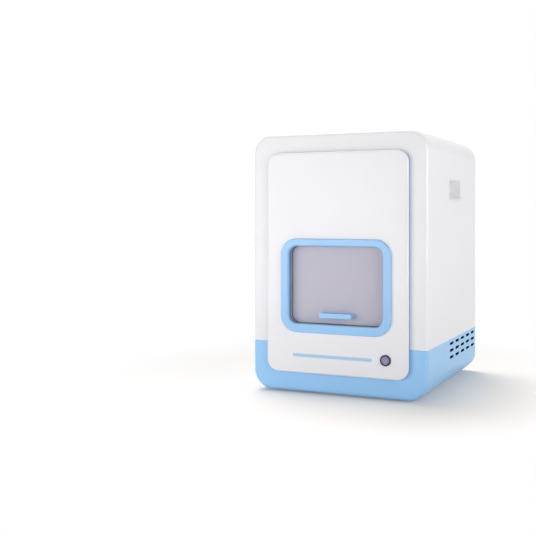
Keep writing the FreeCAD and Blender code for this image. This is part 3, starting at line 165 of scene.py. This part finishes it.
def add_floor():
    """A large floor that shows the object's shadow near it and fades to plain white further off."""
    mesh = bpy.data.meshes.new("floor")
    reach = 12
    corners = [(-reach, -reach, 0), (reach, -reach, 0), (reach, reach, 0), (-reach, reach, 0)]
    mesh.from_pydata(corners, [], [(0, 1, 2, 3)])
    floor = bpy.data.objects.new("floor", mesh)
    scene.collection.objects.link(floor)
    material = bpy.data.materials.new("floor")
    material.use_nodes = True
    tree = material.node_tree
    tree.nodes.clear()
    shade = tree.nodes.new("ShaderNodeMix")
    shade.data_type = "RGBA"
    shade.inputs["A"].default_value = (*FLOOR_BOUNCE, 1)
    tree.links.new(seen_directly(tree), shade.inputs["Factor"])
    diffuse = tree.nodes.new("ShaderNodeBsdfDiffuse")
    tree.links.new(shade.outputs["Result"], diffuse.inputs["Color"])
    place = tree.nodes.new("ShaderNodeTexCoord")
    distance = tree.nodes.new("ShaderNodeVectorMath")
    distance.operation = "LENGTH"
    tree.links.new(place.outputs["Object"], distance.inputs[0])
    fade = tree.nodes.new("ShaderNodeMapRange")
    fade.interpolation_type = "SMOOTHSTEP"
    fade.inputs["From Min"].default_value = FLOOR_FADE[0]
    fade.inputs["From Max"].default_value = FLOOR_FADE[1]
    fade.inputs["To Min"].default_value = FLOOR_LEAST_WHITE
    tree.links.new(distance.outputs["Value"], fade.inputs["Value"])
    tint = tree.nodes.new("ShaderNodeMix")
    tint.data_type = "RGBA"
    tint.inputs["A"].default_value = (*FLOOR_SEEN, 1)
    tint.inputs["B"].default_value = (1, 1, 1, 1)
    tree.links.new(fade.outputs["Result"], tint.inputs["Factor"])
    tree.links.new(tint.outputs["Result"], shade.inputs["B"])
    share = tree.nodes.new("ShaderNodeMath")
    share.operation = "MULTIPLY"
    tree.links.new(fade.outputs["Result"], share.inputs[0])
    tree.links.new(seen_directly(tree), share.inputs[1])
    white = tree.nodes.new("ShaderNodeEmission")
    mix = tree.nodes.new("ShaderNodeMixShader")
    tree.links.new(share.outputs[0], mix.inputs[0])
    tree.links.new(diffuse.outputs[0], mix.inputs[1])
    tree.links.new(white.outputs[0], mix.inputs[2])
    output = tree.nodes.new("ShaderNodeOutputMaterial")
    tree.links.new(mix.outputs[0], output.inputs[0])
    mesh.materials.append(material)


add_camera()
add_world()
add_floor()
add_sun("key_overhead", azimuth=-124, elevation=69, strength=1.95, spread=36)
add_softbox(
    "fill_left_front", azimuth=-31, elevation=0, strength=1.13, distance=1.7, width=1.2, height=0.75,
)
add_softbox("fill_right_front", azimuth=60, elevation=13, strength=0.82, distance=2.2, width=1.2)
add_softbox("fill_right", azimuth=100, elevation=12, strength=0.43, distance=2.4, width=0.9)
edge_strip = add_softbox(
    "edge_strip", azimuth=68, elevation=4, strength=1.6, distance=1.8, width=0.35, height=1.5,
)
# The strip is there for the highlights alone.
edge_strip.visible_diffuse = False
scene.view_settings.view_transform = "Standard"


# ---- materials

def srgb(red, green, blue):
    """A linear colour from the 0 to 255 values in which a paint chip is written."""
    def linear(value):
        value /= 255
        return value / 12.92 if value <= 0.04045 else ((value + 0.055) / 1.055) ** 2.4
    return (linear(red), linear(green), linear(blue), 1)


class Finish:
    """A principled material with object-space noise for colour drift, roughness and relief."""

    def __init__(self, name, colour, roughness, metallic=0.0):
        self.material = bpy.data.materials.new(name)
        self.material.use_nodes = True
        self.tree = self.material.node_tree
        self.shader = self.tree.nodes["Principled BSDF"]
        self.shader.inputs["Base Color"].default_value = colour
        self.shader.inputs["Roughness"].default_value = roughness
        self.shader.inputs["Metallic"].default_value = metallic
        self.colour = colour
        self.roughness = roughness
        self.place = self.add("ShaderNodeTexCoord").outputs["Object"]

    def add(self, kind, **settings):
        item = self.tree.nodes.new(kind)
        for name, value in settings.items():
            setattr(item, name, value)
        return item

    def link(self, source, target):
        self.tree.links.new(source, target)

    def set(self, **values):
        """Sets the shader's own sockets, whose names are written with _ for each space."""
        for name, value in values.items():
            self.shader.inputs[name.replace("_", " ")].default_value = value
        return self

    def stretched(self, scale):
        mapping = self.add("ShaderNodeMapping")
        mapping.inputs["Scale"].default_value = scale
        self.link(self.place, mapping.inputs["Vector"])
        return mapping.outputs["Vector"]

    def noise(self, size, detail=2.0, stretch=(1, 1, 1)):
        """Noise whose lumps are about size metres across."""
        texture = self.add("ShaderNodeTexNoise")
        texture.inputs["Scale"].default_value = 1 / size
        texture.inputs["Detail"].default_value = detail
        self.link(self.stretched(stretch), texture.inputs["Vector"])
        return texture.outputs["Fac"]

    def between(self, factor, low, high):
        """The factor's middle range, spread from low to high."""
        span = self.add("ShaderNodeMapRange")
        span.inputs["From Min"].default_value = 0.3
        span.inputs["From Max"].default_value = 0.7
        span.inputs["To Min"].default_value = low
        span.inputs["To Max"].default_value = high
        self.link(factor, span.inputs["Value"])
        return span.outputs["Result"]

    def drift(self, size, amount, tint=None, detail=3.0, stretch=(1, 1, 1)):
        """Lets the colour wander by a share of itself, or towards a tint."""
        other = tint or tuple(channel * (1 - 2 * amount) for channel in self.colour[:3]) + (1,)
        mix = self.add("ShaderNodeMix", data_type="RGBA")
        mix.inputs["A"].default_value = self.colour
        mix.inputs["B"].default_value = other
        share = self.between(self.noise(size, detail, stretch), 0.0, 1.0 if tint is None else amount)
        self.link(share, mix.inputs["Factor"])
        self.link(mix.outputs["Result"], self.shader.inputs["Base Color"])
        return self

    def second_shot_and_painted_shade(self, start, colour):
        """Turns the base colour to another one behind the distance start along Y, for a second shot
        darkened as painted shade, or for painted shade alone.
        """
        blend = 0.4 * MM
        parts = self.add("ShaderNodeSeparateXYZ")
        self.link(self.place, parts.inputs[0])
        edge = self.add("ShaderNodeMapRange")
        edge.inputs["From Min"].default_value = start - blend
        edge.inputs["From Max"].default_value = start + blend
        self.link(parts.outputs["Y"], edge.inputs["Value"])
        mix = self.add("ShaderNodeMix", data_type="RGBA")
        socket = self.shader.inputs["Base Color"]
        self.link(socket.links[0].from_socket, mix.inputs["A"])
        mix.inputs["B"].default_value = colour
        self.link(edge.outputs["Result"], mix.inputs["Factor"])
        self.link(mix.outputs["Result"], socket)
        return self

    def patchy(self, size, amount, stretch=(1, 1, 1)):
        """Lets the roughness wander."""
        low, high = max(self.roughness - amount, 0.02), min(self.roughness + amount, 1)
        self.link(self.between(self.noise(size, 3.0, stretch), low, high), self.shader.inputs["Roughness"])
        return self

    def relief(self, size, height, strength=1.0, stretch=(1, 1, 1), detail=2.0):
        """A bump of noise, height metres deep."""
        bump = self.add("ShaderNodeBump")
        bump.inputs["Strength"].default_value = strength
        bump.inputs["Distance"].default_value = height
        self.link(self.noise(size, detail, stretch), bump.inputs["Height"])
        self.link(bump.outputs["Normal"], self.shader.inputs["Normal"])
        return self


def moulded(name, colour, roughness=0.42, coat=0.25, beyond=None):
    """Painted or moulded plastic: satin, with a faint orange peel.

    Where beyond is given, as (metres, colour), that colour shows behind that distance along Y: on the
    panel a blue second shot darkened as painted shade, on the bezel painted shade alone.
    """
    finish = Finish(name, colour, roughness)
    finish.drift(0.16, 0.008).patchy(0.05, 0.04).relief(0.0016, 0.000012)
    finish.set(Coat_Weight=coat, Coat_Roughness=0.16)
    if beyond:
        finish.second_shot_and_painted_shade(*beyond)
    return finish.material


def metal(name, colour, roughness=0.32, stretch=(1, 1, 1)):
    """Metal with a fine grain, drawn out where it is brushed."""
    finish = Finish(name, colour, roughness, metallic=1.0)
    finish.drift(0.03, 0.03, stretch=stretch).patchy(0.004, 0.07, stretch)
    return finish.relief(0.0007, 0.000006, stretch=stretch).material


def build_materials():
    white = srgb(240, 240, 244)
    blue = srgb(153, 207, 252)
    # The panel's side wall: a blue second shot, made darker as painted shade.
    edge_blue_with_painted_shade = srgb(136, 166, 202)
    # Painted shade: the bezel's collar behind its face, dark so the window's inner wall reads as shaded.
    collar_painted_shade_blue = srgb(98, 134, 178)
    # How far behind its front the panel and the bezel keep their front colour; behind it their colours are
    # darker as painted shade.
    panel_face, bezel_face = 3.6 * MM, 7 * MM
    panel_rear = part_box("front_panel")[0].y + panel_face
    bezel_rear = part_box("window_bezel")[0].y + bezel_face
    made = {
        "shell_white": moulded("shell_white", white),
        "shell_blue": moulded("shell_blue", blue),
        "panel_white": moulded("panel_white", srgb(239, 239, 243), 0.38, beyond=(panel_rear, edge_blue_with_painted_shade)),
        "bezel_blue": moulded("bezel_blue", srgb(150, 201, 246), 0.36, beyond=(bezel_rear, collar_painted_shade_blue)),
        "strip_blue": moulded("strip_blue", srgb(169, 208, 239), 0.34),
        "handle_blue": moulded("handle_blue", srgb(150, 203, 250), 0.34),
        "rear_sheet": moulded("rear_sheet", srgb(228, 229, 233), 0.5, 0.0),
        "steel": metal("steel", (0.62, 0.63, 0.65, 1)),
        "sheet_steel": metal("sheet_steel", (0.66, 0.67, 0.68, 1), 0.4, (1, 6, 1)),
        "camera_metal": metal("camera_metal", (0.16, 0.165, 0.18, 1), 0.45),
        "lens_metal": metal("lens_metal", (0.05, 0.05, 0.055, 1), 0.38),
        "supply_metal": metal("supply_metal", (0.6, 0.61, 0.63, 1), 0.45, (6, 1, 1)),
        "pin_metal": metal("pin_metal", (0.75, 0.70, 0.58, 1), 0.25),
        "wire_chrome": metal("wire_chrome", (0.78, 0.79, 0.81, 1), 0.16),
        "button_rim": metal("button_rim", (0.035, 0.03, 0.055, 1), 0.3),
        "button_cap": metal("button_cap", (0.21, 0.195, 0.30, 1), 0.42),
    }
    pane = Finish("sash_grey", srgb(199, 196, 209), 0.55).set(Specular_IOR_Level=0.3)
    made["sash_grey"] = pane.drift(0.22, 0.02).patchy(0.07, 0.04).relief(0.0009, 0.000008).material
    felt = Finish("felt", (0.05, 0.05, 0.06, 1), 0.95).set(Sheen_Weight=0.5)
    made["felt"] = felt.drift(0.002, 0.2).relief(0.0004, 0.0002).material
    # The seal's near-black colour and weak reflection stand in for the shade line round the window:
    # painted shade.
    seal = Finish("window_seal", (0.012, 0.017, 0.032, 1), 0.7).set(Specular_IOR_Level=0.15)
    made["window_seal"] = seal.drift(0.01, 0.1).relief(0.0006, 0.00003).material
    # Dust foam, its near-black colour and lack of reflection standing in for the shade inside the vents:
    # painted shade.
    gauze = Finish("vent_gauze", (0.004, 0.008, 0.02, 1), 1.0).set(Specular_IOR_Level=0.0)
    made["vent_gauze"] = gauze.drift(0.004, 0.1).relief(0.0011, 0.0002).material
    rubber = Finish("rubber", (0.035, 0.035, 0.038, 1), 0.72)
    made["rubber"] = rubber.drift(0.01, 0.1).relief(0.0006, 0.00004).material
    black = Finish("black_sheet", (0.045, 0.045, 0.049, 1), 0.6)
    made["black_sheet"] = black.drift(0.04, 0.08).relief(0.0009, 0.00003).material
    socket = Finish("socket_black", (0.028, 0.028, 0.031, 1), 0.38)
    made["socket_black"] = socket.drift(0.01, 0.06).patchy(0.006, 0.06).relief(0.0008, 0.00001).material
    fan = Finish("fan_black", (0.03, 0.03, 0.032, 1), 0.5)
    made["fan_black"] = fan.drift(0.01, 0.08).patchy(0.01, 0.06).relief(0.001, 0.00001).material
    board = Finish("board_green", (0.03, 0.16, 0.07, 1), 0.35)
    made["board_green"] = board.drift(0.003, 0.5, tint=(0.02, 0.11, 0.05, 1)).patchy(0.004, 0.1).material
    diffuser = Finish("diffuser", (0.86, 0.87, 0.88, 1), 0.5)
    made["diffuser"] = diffuser.drift(0.03, 0.01).relief(0.0012, 0.00001).material
    light = Finish("button_light", (0.36, 0.34, 0.52, 1), 0.35)
    made["button_light"] = light.drift(0.002, 0.06).material
    glass = Finish("glass", (0.12, 0.10, 0.2, 1), 0.04).set(Coat_Weight=1.0, Coat_Roughness=0.02)
    made["glass"] = glass.drift(0.012, 0.3, tint=(0.05, 0.12, 0.12, 1)).material
    return made


MATERIALS = build_materials()
SLOT_OF = {}
for node, item in frame["nodes"].items():
    SLOT_OF[node] = item.material_slots[0].material.name.split(".")[0]
    for slot in item.material_slots:
        slot.material = MATERIALS[SLOT_OF[node]]


# ---- pieces

def finish_piece(piece, node):
    """Makes a piece stand for a CAD node: it rides on the node's body and takes its slot."""
    slot = SLOT_OF[node]
    piece.data.materials.clear()
    piece.data.materials.append(MATERIALS[slot])
    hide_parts(node)
    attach(piece, BODY_OF[node])
    return piece


def soften(node, width, segments=2, angle=35):
    """The CAD node's shape with its sharp edges rounded off, as a moulding or a deburred part has."""
    mesh = frame["nodes"][node].data.copy()
    mesh.name = node + "_softened"
    shape = bmesh.new()
    shape.from_mesh(mesh)
    # The CAD mesh's stored normals don't suit the rounded edges, so they go here and below.
    for layer in list(shape.loops.layers.float_vector.values()):
        shape.loops.layers.float_vector.remove(layer)
    bmesh.ops.remove_doubles(shape, verts=shape.verts, dist=1e-6)
    bmesh.ops.dissolve_limit(
        shape, angle_limit=math.radians(0.3), verts=shape.verts, edges=shape.edges,
    )
    for face in shape.faces:
        face.smooth = True
    shape.to_mesh(mesh)
    shape.free()
    if "custom_normal" in mesh.attributes:
        mesh.attributes.remove(mesh.attributes["custom_normal"])
    piece = bpy.data.objects.new(node + "_finished", mesh)
    scene.collection.objects.link(piece)
    bevel = piece.modifiers.new("edges", "BEVEL")
    bevel.width = width
    bevel.segments = segments
    bevel.limit_method = "ANGLE"
    bevel.angle_limit = math.radians(angle)
    bevel.use_clamp_overlap = True
    weigh = piece.modifiers.new("normals", "WEIGHTED_NORMAL")
    weigh.keep_sharp = False
    return finish_piece(piece, node)


def new_piece(name, shape, smooth=False):
    """A new object from a bmesh, with the mesh's normals turned outwards."""
    bmesh.ops.recalc_face_normals(shape, faces=shape.faces)
    for face in shape.faces:
        face.smooth = smooth
    mesh = bpy.data.meshes.new(name)
    shape.to_mesh(mesh)
    shape.free()
    piece = bpy.data.objects.new(name, mesh)
    scene.collection.objects.link(piece)
    return piece


def add_detail(piece, near, slot=None):
    """Gives a piece that no CAD node stands for the body of the node it is on, and a finish.

    A finish that isn't one of the record's slots is listed under the slot felt.
    """
    slot = slot or SLOT_OF[near]
    piece.data.materials.append(MATERIALS[slot])
    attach(piece, BODY_OF[near])
    return piece


def rounded_outline(width, height, corner, steps=8):
    """Points (u, v) round a rectangle with round corners, anticlockwise."""
    points = []
    for quarter in range(4):
        middle = math.radians(45 + 90 * quarter)
        u = math.copysign(width / 2 - corner, math.cos(middle))
        v = math.copysign(height / 2 - corner, math.sin(middle))
        for step in range(steps + 1):
            angle = math.radians(90 * (quarter + step / steps))
            points.append((u + corner * math.cos(angle), v + corner * math.sin(angle)))
    return points


def closed_band(shape, rings):
    """Quads between each ring of vertices and the next, and from the last back to the first."""
    for ring, other in zip(rings, rings[1:] + rings[:1]):
        count = len(ring)
        for i in range(count):
            shape.faces.new((ring[i], ring[(i + 1) % count], other[(i + 1) % count], other[i]))


# Sizes of the CAD model that no box gives: the pane's overlap past the window on each side, the
# window's corner, the shell's wall, and the side vents' slots with their pitches and counts.
SASH_OVERLAP = 10 * MM
WINDOW_CORNER = 18 * MM
SHELL_WALL = 3 * MM
VENT_LENGTH, VENT_HEIGHT = 29 * MM, 5.8 * MM
VENT_FIRST, VENT_PITCH, VENT_COLUMNS = -12.5 * MM, 45 * MM, 5
VENT_BOTTOM, VENT_ROW_PITCH, VENT_ROWS = 65.5 * MM, 14.3 * MM, 3


def add_window_seal_as_painted_shade():
    """A thin dark seal round the window, between the front wall and the sliding pane; its near-black
    colour is painted shade, the dark line that shade draws at the window's edge.
    """
    low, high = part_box("sash_pane")
    middle = (low + high) / 2
    overlap, lip, corner = SASH_OVERLAP, 0.7 * MM, WINDOW_CORNER
    width, height = high.x - low.x - 2 * overlap, high.z - low.z - 2 * overlap
    back = low.y - 0.3 * MM
    front = back - 2.2 * MM
    shape = bmesh.new()
    rings = []
    for inset, y in ((0, front), (lip, front + 0.7 * MM), (lip, back), (0, back)):
        outline = rounded_outline(width - 2 * inset, height - 2 * inset, corner - inset)
        rings.append([shape.verts.new((middle.x + u, y, middle.z + v)) for u, v in outline])
    closed_band(shape, rings)
    return add_detail(new_piece("window_seal", shape), "front_panel", "window_seal")


def add_power_symbol():
    """The usual power mark, a ring open at the top with a bar in it, raised on the cap."""
    low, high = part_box("power_button_cap")
    centre = (low + high) / 2
    radius, stroke, lift = 3.1 * MM, 0.55 * MM, 0.12 * MM
    shape = bmesh.new()

    def stroke_along(path):
        """A flat raised line through points given with their sideways directions."""
        sections = []
        for (u, v), (side_u, side_v) in path:
            section = []
            for side, y in ((-1, 0.1 * MM), (-1, -lift), (1, -lift), (1, 0.1 * MM)):
                x = centre.x + u + side * side_u * stroke
                z = centre.z + v + side * side_v * stroke
                section.append(shape.verts.new((x, low.y + y, z)))
            sections.append(section)
        for one, two in zip(sections, sections[1:]):
            for i in range(4):
                shape.faces.new((one[i], one[(i + 1) % 4], two[(i + 1) % 4], two[i]))
        shape.faces.new(sections[0])
        shape.faces.new(sections[-1])

    arc = []
    for step in range(33):
        angle = math.radians(90 + 38 + (360 - 76) * step / 32)
        way = (math.cos(angle), math.sin(angle))
        arc.append(((radius * way[0], radius * way[1]), way))
    stroke_along(arc)
    stroke_along([((0, v), (1, 0)) for v in (0.4 * radius, 0.8 * radius, 1.25 * radius)])
    return add_detail(new_piece("power_symbol", shape), "power_button_cap", "button_light")


def add_vent_foam_as_painted_shade(side):
    """Dark dust foam behind one side's vent slots, swelling into each of them; it is near black and shows
    no reflection, as painted shade for the slots' dark inside.
    """
    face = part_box("lower_housing")[1].x
    inner_face = face - SHELL_WALL
    clear = 0.15 * MM
    slot_length, slot_height = VENT_LENGTH - 2 * clear, VENT_HEIGHT - 2 * clear
    shape = bmesh.new()

    def block(outline, inside, outside, crown):
        """A slab between two depths, its outer face crowned by rings drawn in towards its middle."""
        middle_y = sum(y for y, _ in outline) / len(outline)
        middle_z = sum(z for _, z in outline) / len(outline)
        rings = []
        for share, x in ((0, inside), (0, outside - crown), (0.25, outside - crown / 3), (0.6, outside)):
            ring = []
            for y, z in outline:
                spot = (side * x, y + share * (middle_y - y), z + share * (middle_z - z))
                ring.append(shape.verts.new(spot))
            rings.append(ring)
        for ring, other in zip(rings, rings[1:]):
            for i in range(len(ring)):
                j = (i + 1) % len(ring)
                shape.faces.new((ring[i], ring[j], other[j], other[i]))
        shape.faces.new(rings[0])
        shape.faces.new(rings[-1])

    crown = 0.3 * MM
    run, rise = VENT_PITCH * (VENT_COLUMNS - 1), VENT_ROW_PITCH * (VENT_ROWS - 1)
    middle_y, middle_z = VENT_FIRST + run / 2, VENT_BOTTOM + rise / 2
    foam = rounded_outline(run + 36 * MM, rise + 14 * MM, 3 * MM)
    pad = [(middle_y + u, middle_z + v) for u, v in foam]
    block(pad, inner_face - 3 * MM, inner_face - 0.1 * MM, crown)
    slot = rounded_outline(slot_length, slot_height, 1.2 * MM, 4)
    for column in range(VENT_COLUMNS):
        for row in range(VENT_ROWS):
            y, z = VENT_FIRST + VENT_PITCH * column, VENT_BOTTOM + VENT_ROW_PITCH * row
            plug = [(y + u, z + v) for u, v in slot]
            block(plug, inner_face - 1 * MM, face - 0.7 * MM, crown)
    piece = new_piece("vent_foam_" + ("right" if side > 0 else "left"), shape, smooth=True)
    return add_detail(piece, "lower_housing", "vent_gauze")


def spun_skin(shape, centre, profile, turns):
    """A skin of revolution about an axis along Y, from (radius, y) points. It closes at radius 0."""
    rings = []
    for radius, y in profile:
        if radius == 0:
            rings.append([shape.verts.new((centre.x, y, centre.z))] * turns)
            continue
        ring = []
        for i in range(turns):
            angle = 2 * math.pi * i / turns
            place = (centre.x + radius * math.cos(angle), y, centre.z + radius * math.sin(angle))
            ring.append(shape.verts.new(place))
        rings.append(ring)
    for ring, other in zip(rings, rings[1:]):
        for i in range(turns):
            j = (i + 1) % turns
            corners = [ring[i], ring[j], other[j], other[i]]
            shape.faces.new(corners if other[i] is not other[j] else corners[:3])
    shape.faces.new(rings[0])


def fan_blade(shape, centre, start, root, tip, front, back):
    """A swept blade from radius root to radius tip: two cambered skins, joined round their border."""
    along, across = 8, 10
    thick, camber_height = 1.5 * MM, 2.2 * MM
    depth = back - front - 3 * MM
    skins = []
    for side in (-1, 1):
        skin = []
        for i in range(along + 1):
            share = i / along
            radius = root + (tip - root) * share
            spread = math.radians(40 - 6 * share)
            sweep = math.radians(16) * share ** 1.5
            line = []
            for j in range(across + 1):
                chord = j / across - 0.5
                angle = start + sweep + spread * chord
                camber = camber_height * (1 - 4 * chord * chord)
                edge = thick * math.sqrt(max(1 - (2 * chord) ** 4, 0.04)) / 2
                pitch = depth * (0.86 - 0.16 * share) * chord
                x = centre.x + radius * math.cos(angle)
                y = (front + back) / 2 + pitch + camber - side * edge
                z = centre.z + radius * math.sin(angle)
                line.append(shape.verts.new((x, y, z)))
            skin.append(line)
        skins.append(skin)
    for skin in skins:
        for i in range(along):
            for j in range(across):
                shape.faces.new((skin[i][j], skin[i + 1][j], skin[i + 1][j + 1], skin[i][j + 1]))
    one, two = skins
    for i in range(along):
        for j in (0, across):
            shape.faces.new((one[i][j], one[i + 1][j], two[i + 1][j], two[i][j]))
    for j in range(across):
        for i in (0, along):
            shape.faces.new((one[i][j], one[i][j + 1], two[i][j + 1], two[i][j]))


def add_fan_rotor():
    """A hub with seven swept blades, each twisted from root to tip."""
    low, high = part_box("fan_rotor")
    centre = (low + high) / 2
    hub, tip, blades = 15.0 * MM, 34.6 * MM, 7
    front, back = low.y + 1.2 * MM, high.y
    shape = bmesh.new()
    spun_skin(shape, centre, [
        (3 * MM, low.y), (3 * MM, front), (hub - 1 * MM, front), (hub, front + 1 * MM),
        (hub, back - 2.2 * MM), (hub - 0.7 * MM, back - 0.7 * MM), (hub - 2.2 * MM, back),
        (9 * MM, back), (8.6 * MM, back - 0.4 * MM), (0, back - 0.4 * MM),
    ], turns=64)
    for blade in range(blades):
        start = 2 * math.pi * blade / blades
        fan_blade(shape, centre, start, hub - 0.6 * MM, tip, front, back)
    return finish_piece(new_piece("fan_rotor_blades", shape, smooth=True), "fan_rotor")


def add_knurled_ring(node, teeth=60):
    """A lens ring whose grip is cut into fine ribs, with a plain chamfered band at each end."""
    low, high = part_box(node)
    centre = (low + high) / 2
    outer = (high.x - low.x) / 2
    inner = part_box("lens_barrel")[1].x - centre.x + 0.15 * MM
    length = high.z - low.z
    shape = bmesh.new()
    steps = teeth * 4
    levels = [
        (0, inner, 0), (0, outer - 0.6 * MM, 0), (0.5 * MM, outer - 0.1 * MM, 0),
        (1.2 * MM, outer - 0.1 * MM, 0), (1.5 * MM, outer, 1), (length - 1.5 * MM, outer, 1),
        (length - 1.2 * MM, outer - 0.1 * MM, 0), (length - 0.5 * MM, outer - 0.1 * MM, 0),
        (length, outer - 0.6 * MM, 0), (length, inner, 0),
    ]
    rings = []
    for height, radius, ribbed in levels:
        ring = []
        for i in range(steps):
            angle = 2 * math.pi * i / steps
            cut = 0.55 * MM * ribbed if i % 4 in (2, 3) else 0
            x = centre.x + (radius - cut) * math.cos(angle)
            y = centre.y + (radius - cut) * math.sin(angle)
            ring.append(shape.verts.new((x, y, low.z + height)))
        rings.append(ring)
    closed_band(shape, rings)
    return finish_piece(new_piece(node + "_knurled", shape), node)


def line_mark(shape, spot):
    """A flat bar, raised where spot(u, v, w) puts its corners on the key's face."""
    half, reach, lift = 0.35 * MM, 2.0 * MM, 0.1 * MM
    corners = [(-half, -reach), (half, -reach), (half, reach), (-half, reach)]
    bottom, top = [
        [shape.verts.new(spot(u, v, w)) for u, v in corners] for w in (-lift, lift)
    ]
    shape.faces.new(bottom)
    shape.faces.new(top)
    for i in range(4):
        shape.faces.new((bottom[i], bottom[(i + 1) % 4], top[(i + 1) % 4], top[i]))


def circle_mark(shape, spot):
    """A flat ring, raised in the same way."""
    outer, inner, lift, steps = 2.3 * MM, 1.7 * MM, 0.1 * MM, 40
    rings = []
    for radius, w in ((outer, -lift), (outer, lift), (inner, lift), (inner, -lift)):
        ring = []
        for i in range(steps):
            angle = 2 * math.pi * i / steps
            ring.append(shape.verts.new(spot(radius * math.cos(angle), radius * math.sin(angle), w)))
        rings.append(ring)
    closed_band(shape, rings)


def add_rocker_marks():
    """The usual line and circle of a mains switch, raised on the rocker's two halves."""
    mesh = frame["nodes"]["rocker_key"].data
    low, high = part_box("rocker_key")
    middle = (low + high) / 2
    surface = BVHTree.FromPolygons(
        [vert.co[:] for vert in mesh.vertices],
        [face.vertices[:] for face in mesh.polygons],
    )
    across = Vector((1, 0, 0))
    marks = (("rocker_line", 0.27, line_mark), ("rocker_circle", -0.27, circle_mark))
    for name, share, draw in marks:
        start = Vector((middle.x, high.y + 20 * MM, middle.z + share * (high.z - low.z)))
        place, normal, _, _ = surface.ray_cast(start, Vector((0, -1, 0)))
        along = normal.cross(across)
        shape = bmesh.new()
        draw(shape, lambda u, v, w: place + across * u + along * v + normal * w)
        add_detail(new_piece(name, shape), "rocker_key", "diffuser")


# How far each node's sharp edges are rounded off, in millimetres.
EDGE_WIDTHS = {
    "upper_housing": 0.5,
    "lower_housing": 0.5,
    "grip_cup_left": 0.8,
    "grip_cup_right": 0.8,
    "accent_strip": 0.25,
    "sash_pane": 0.4,
    "sash_handle": 1.1,
    "power_button_barrel": 0.35,
    "rear_panel": 0.3,
    "rubber_feet": 0.5,
    "power_inlet": 0.5,
    "fuse_drawer": 0.4,
    "rocker_frame": 0.4,
    "rocker_key": 0.6,
    "usb_port": 0.2,
    "fan_frame": 0.4,
}
for node, width in EDGE_WIDTHS.items():
    soften(node, width * MM)

add_window_seal_as_painted_shade()
add_power_symbol()
add_vent_foam_as_painted_shade(1)
add_vent_foam_as_painted_shade(-1)
add_fan_rotor()
add_knurled_ring("lens_focus_ring")
add_knurled_ring("lens_iris_ring")
add_rocker_marks()


# ---- last update

bpy.context.view_layer.update()
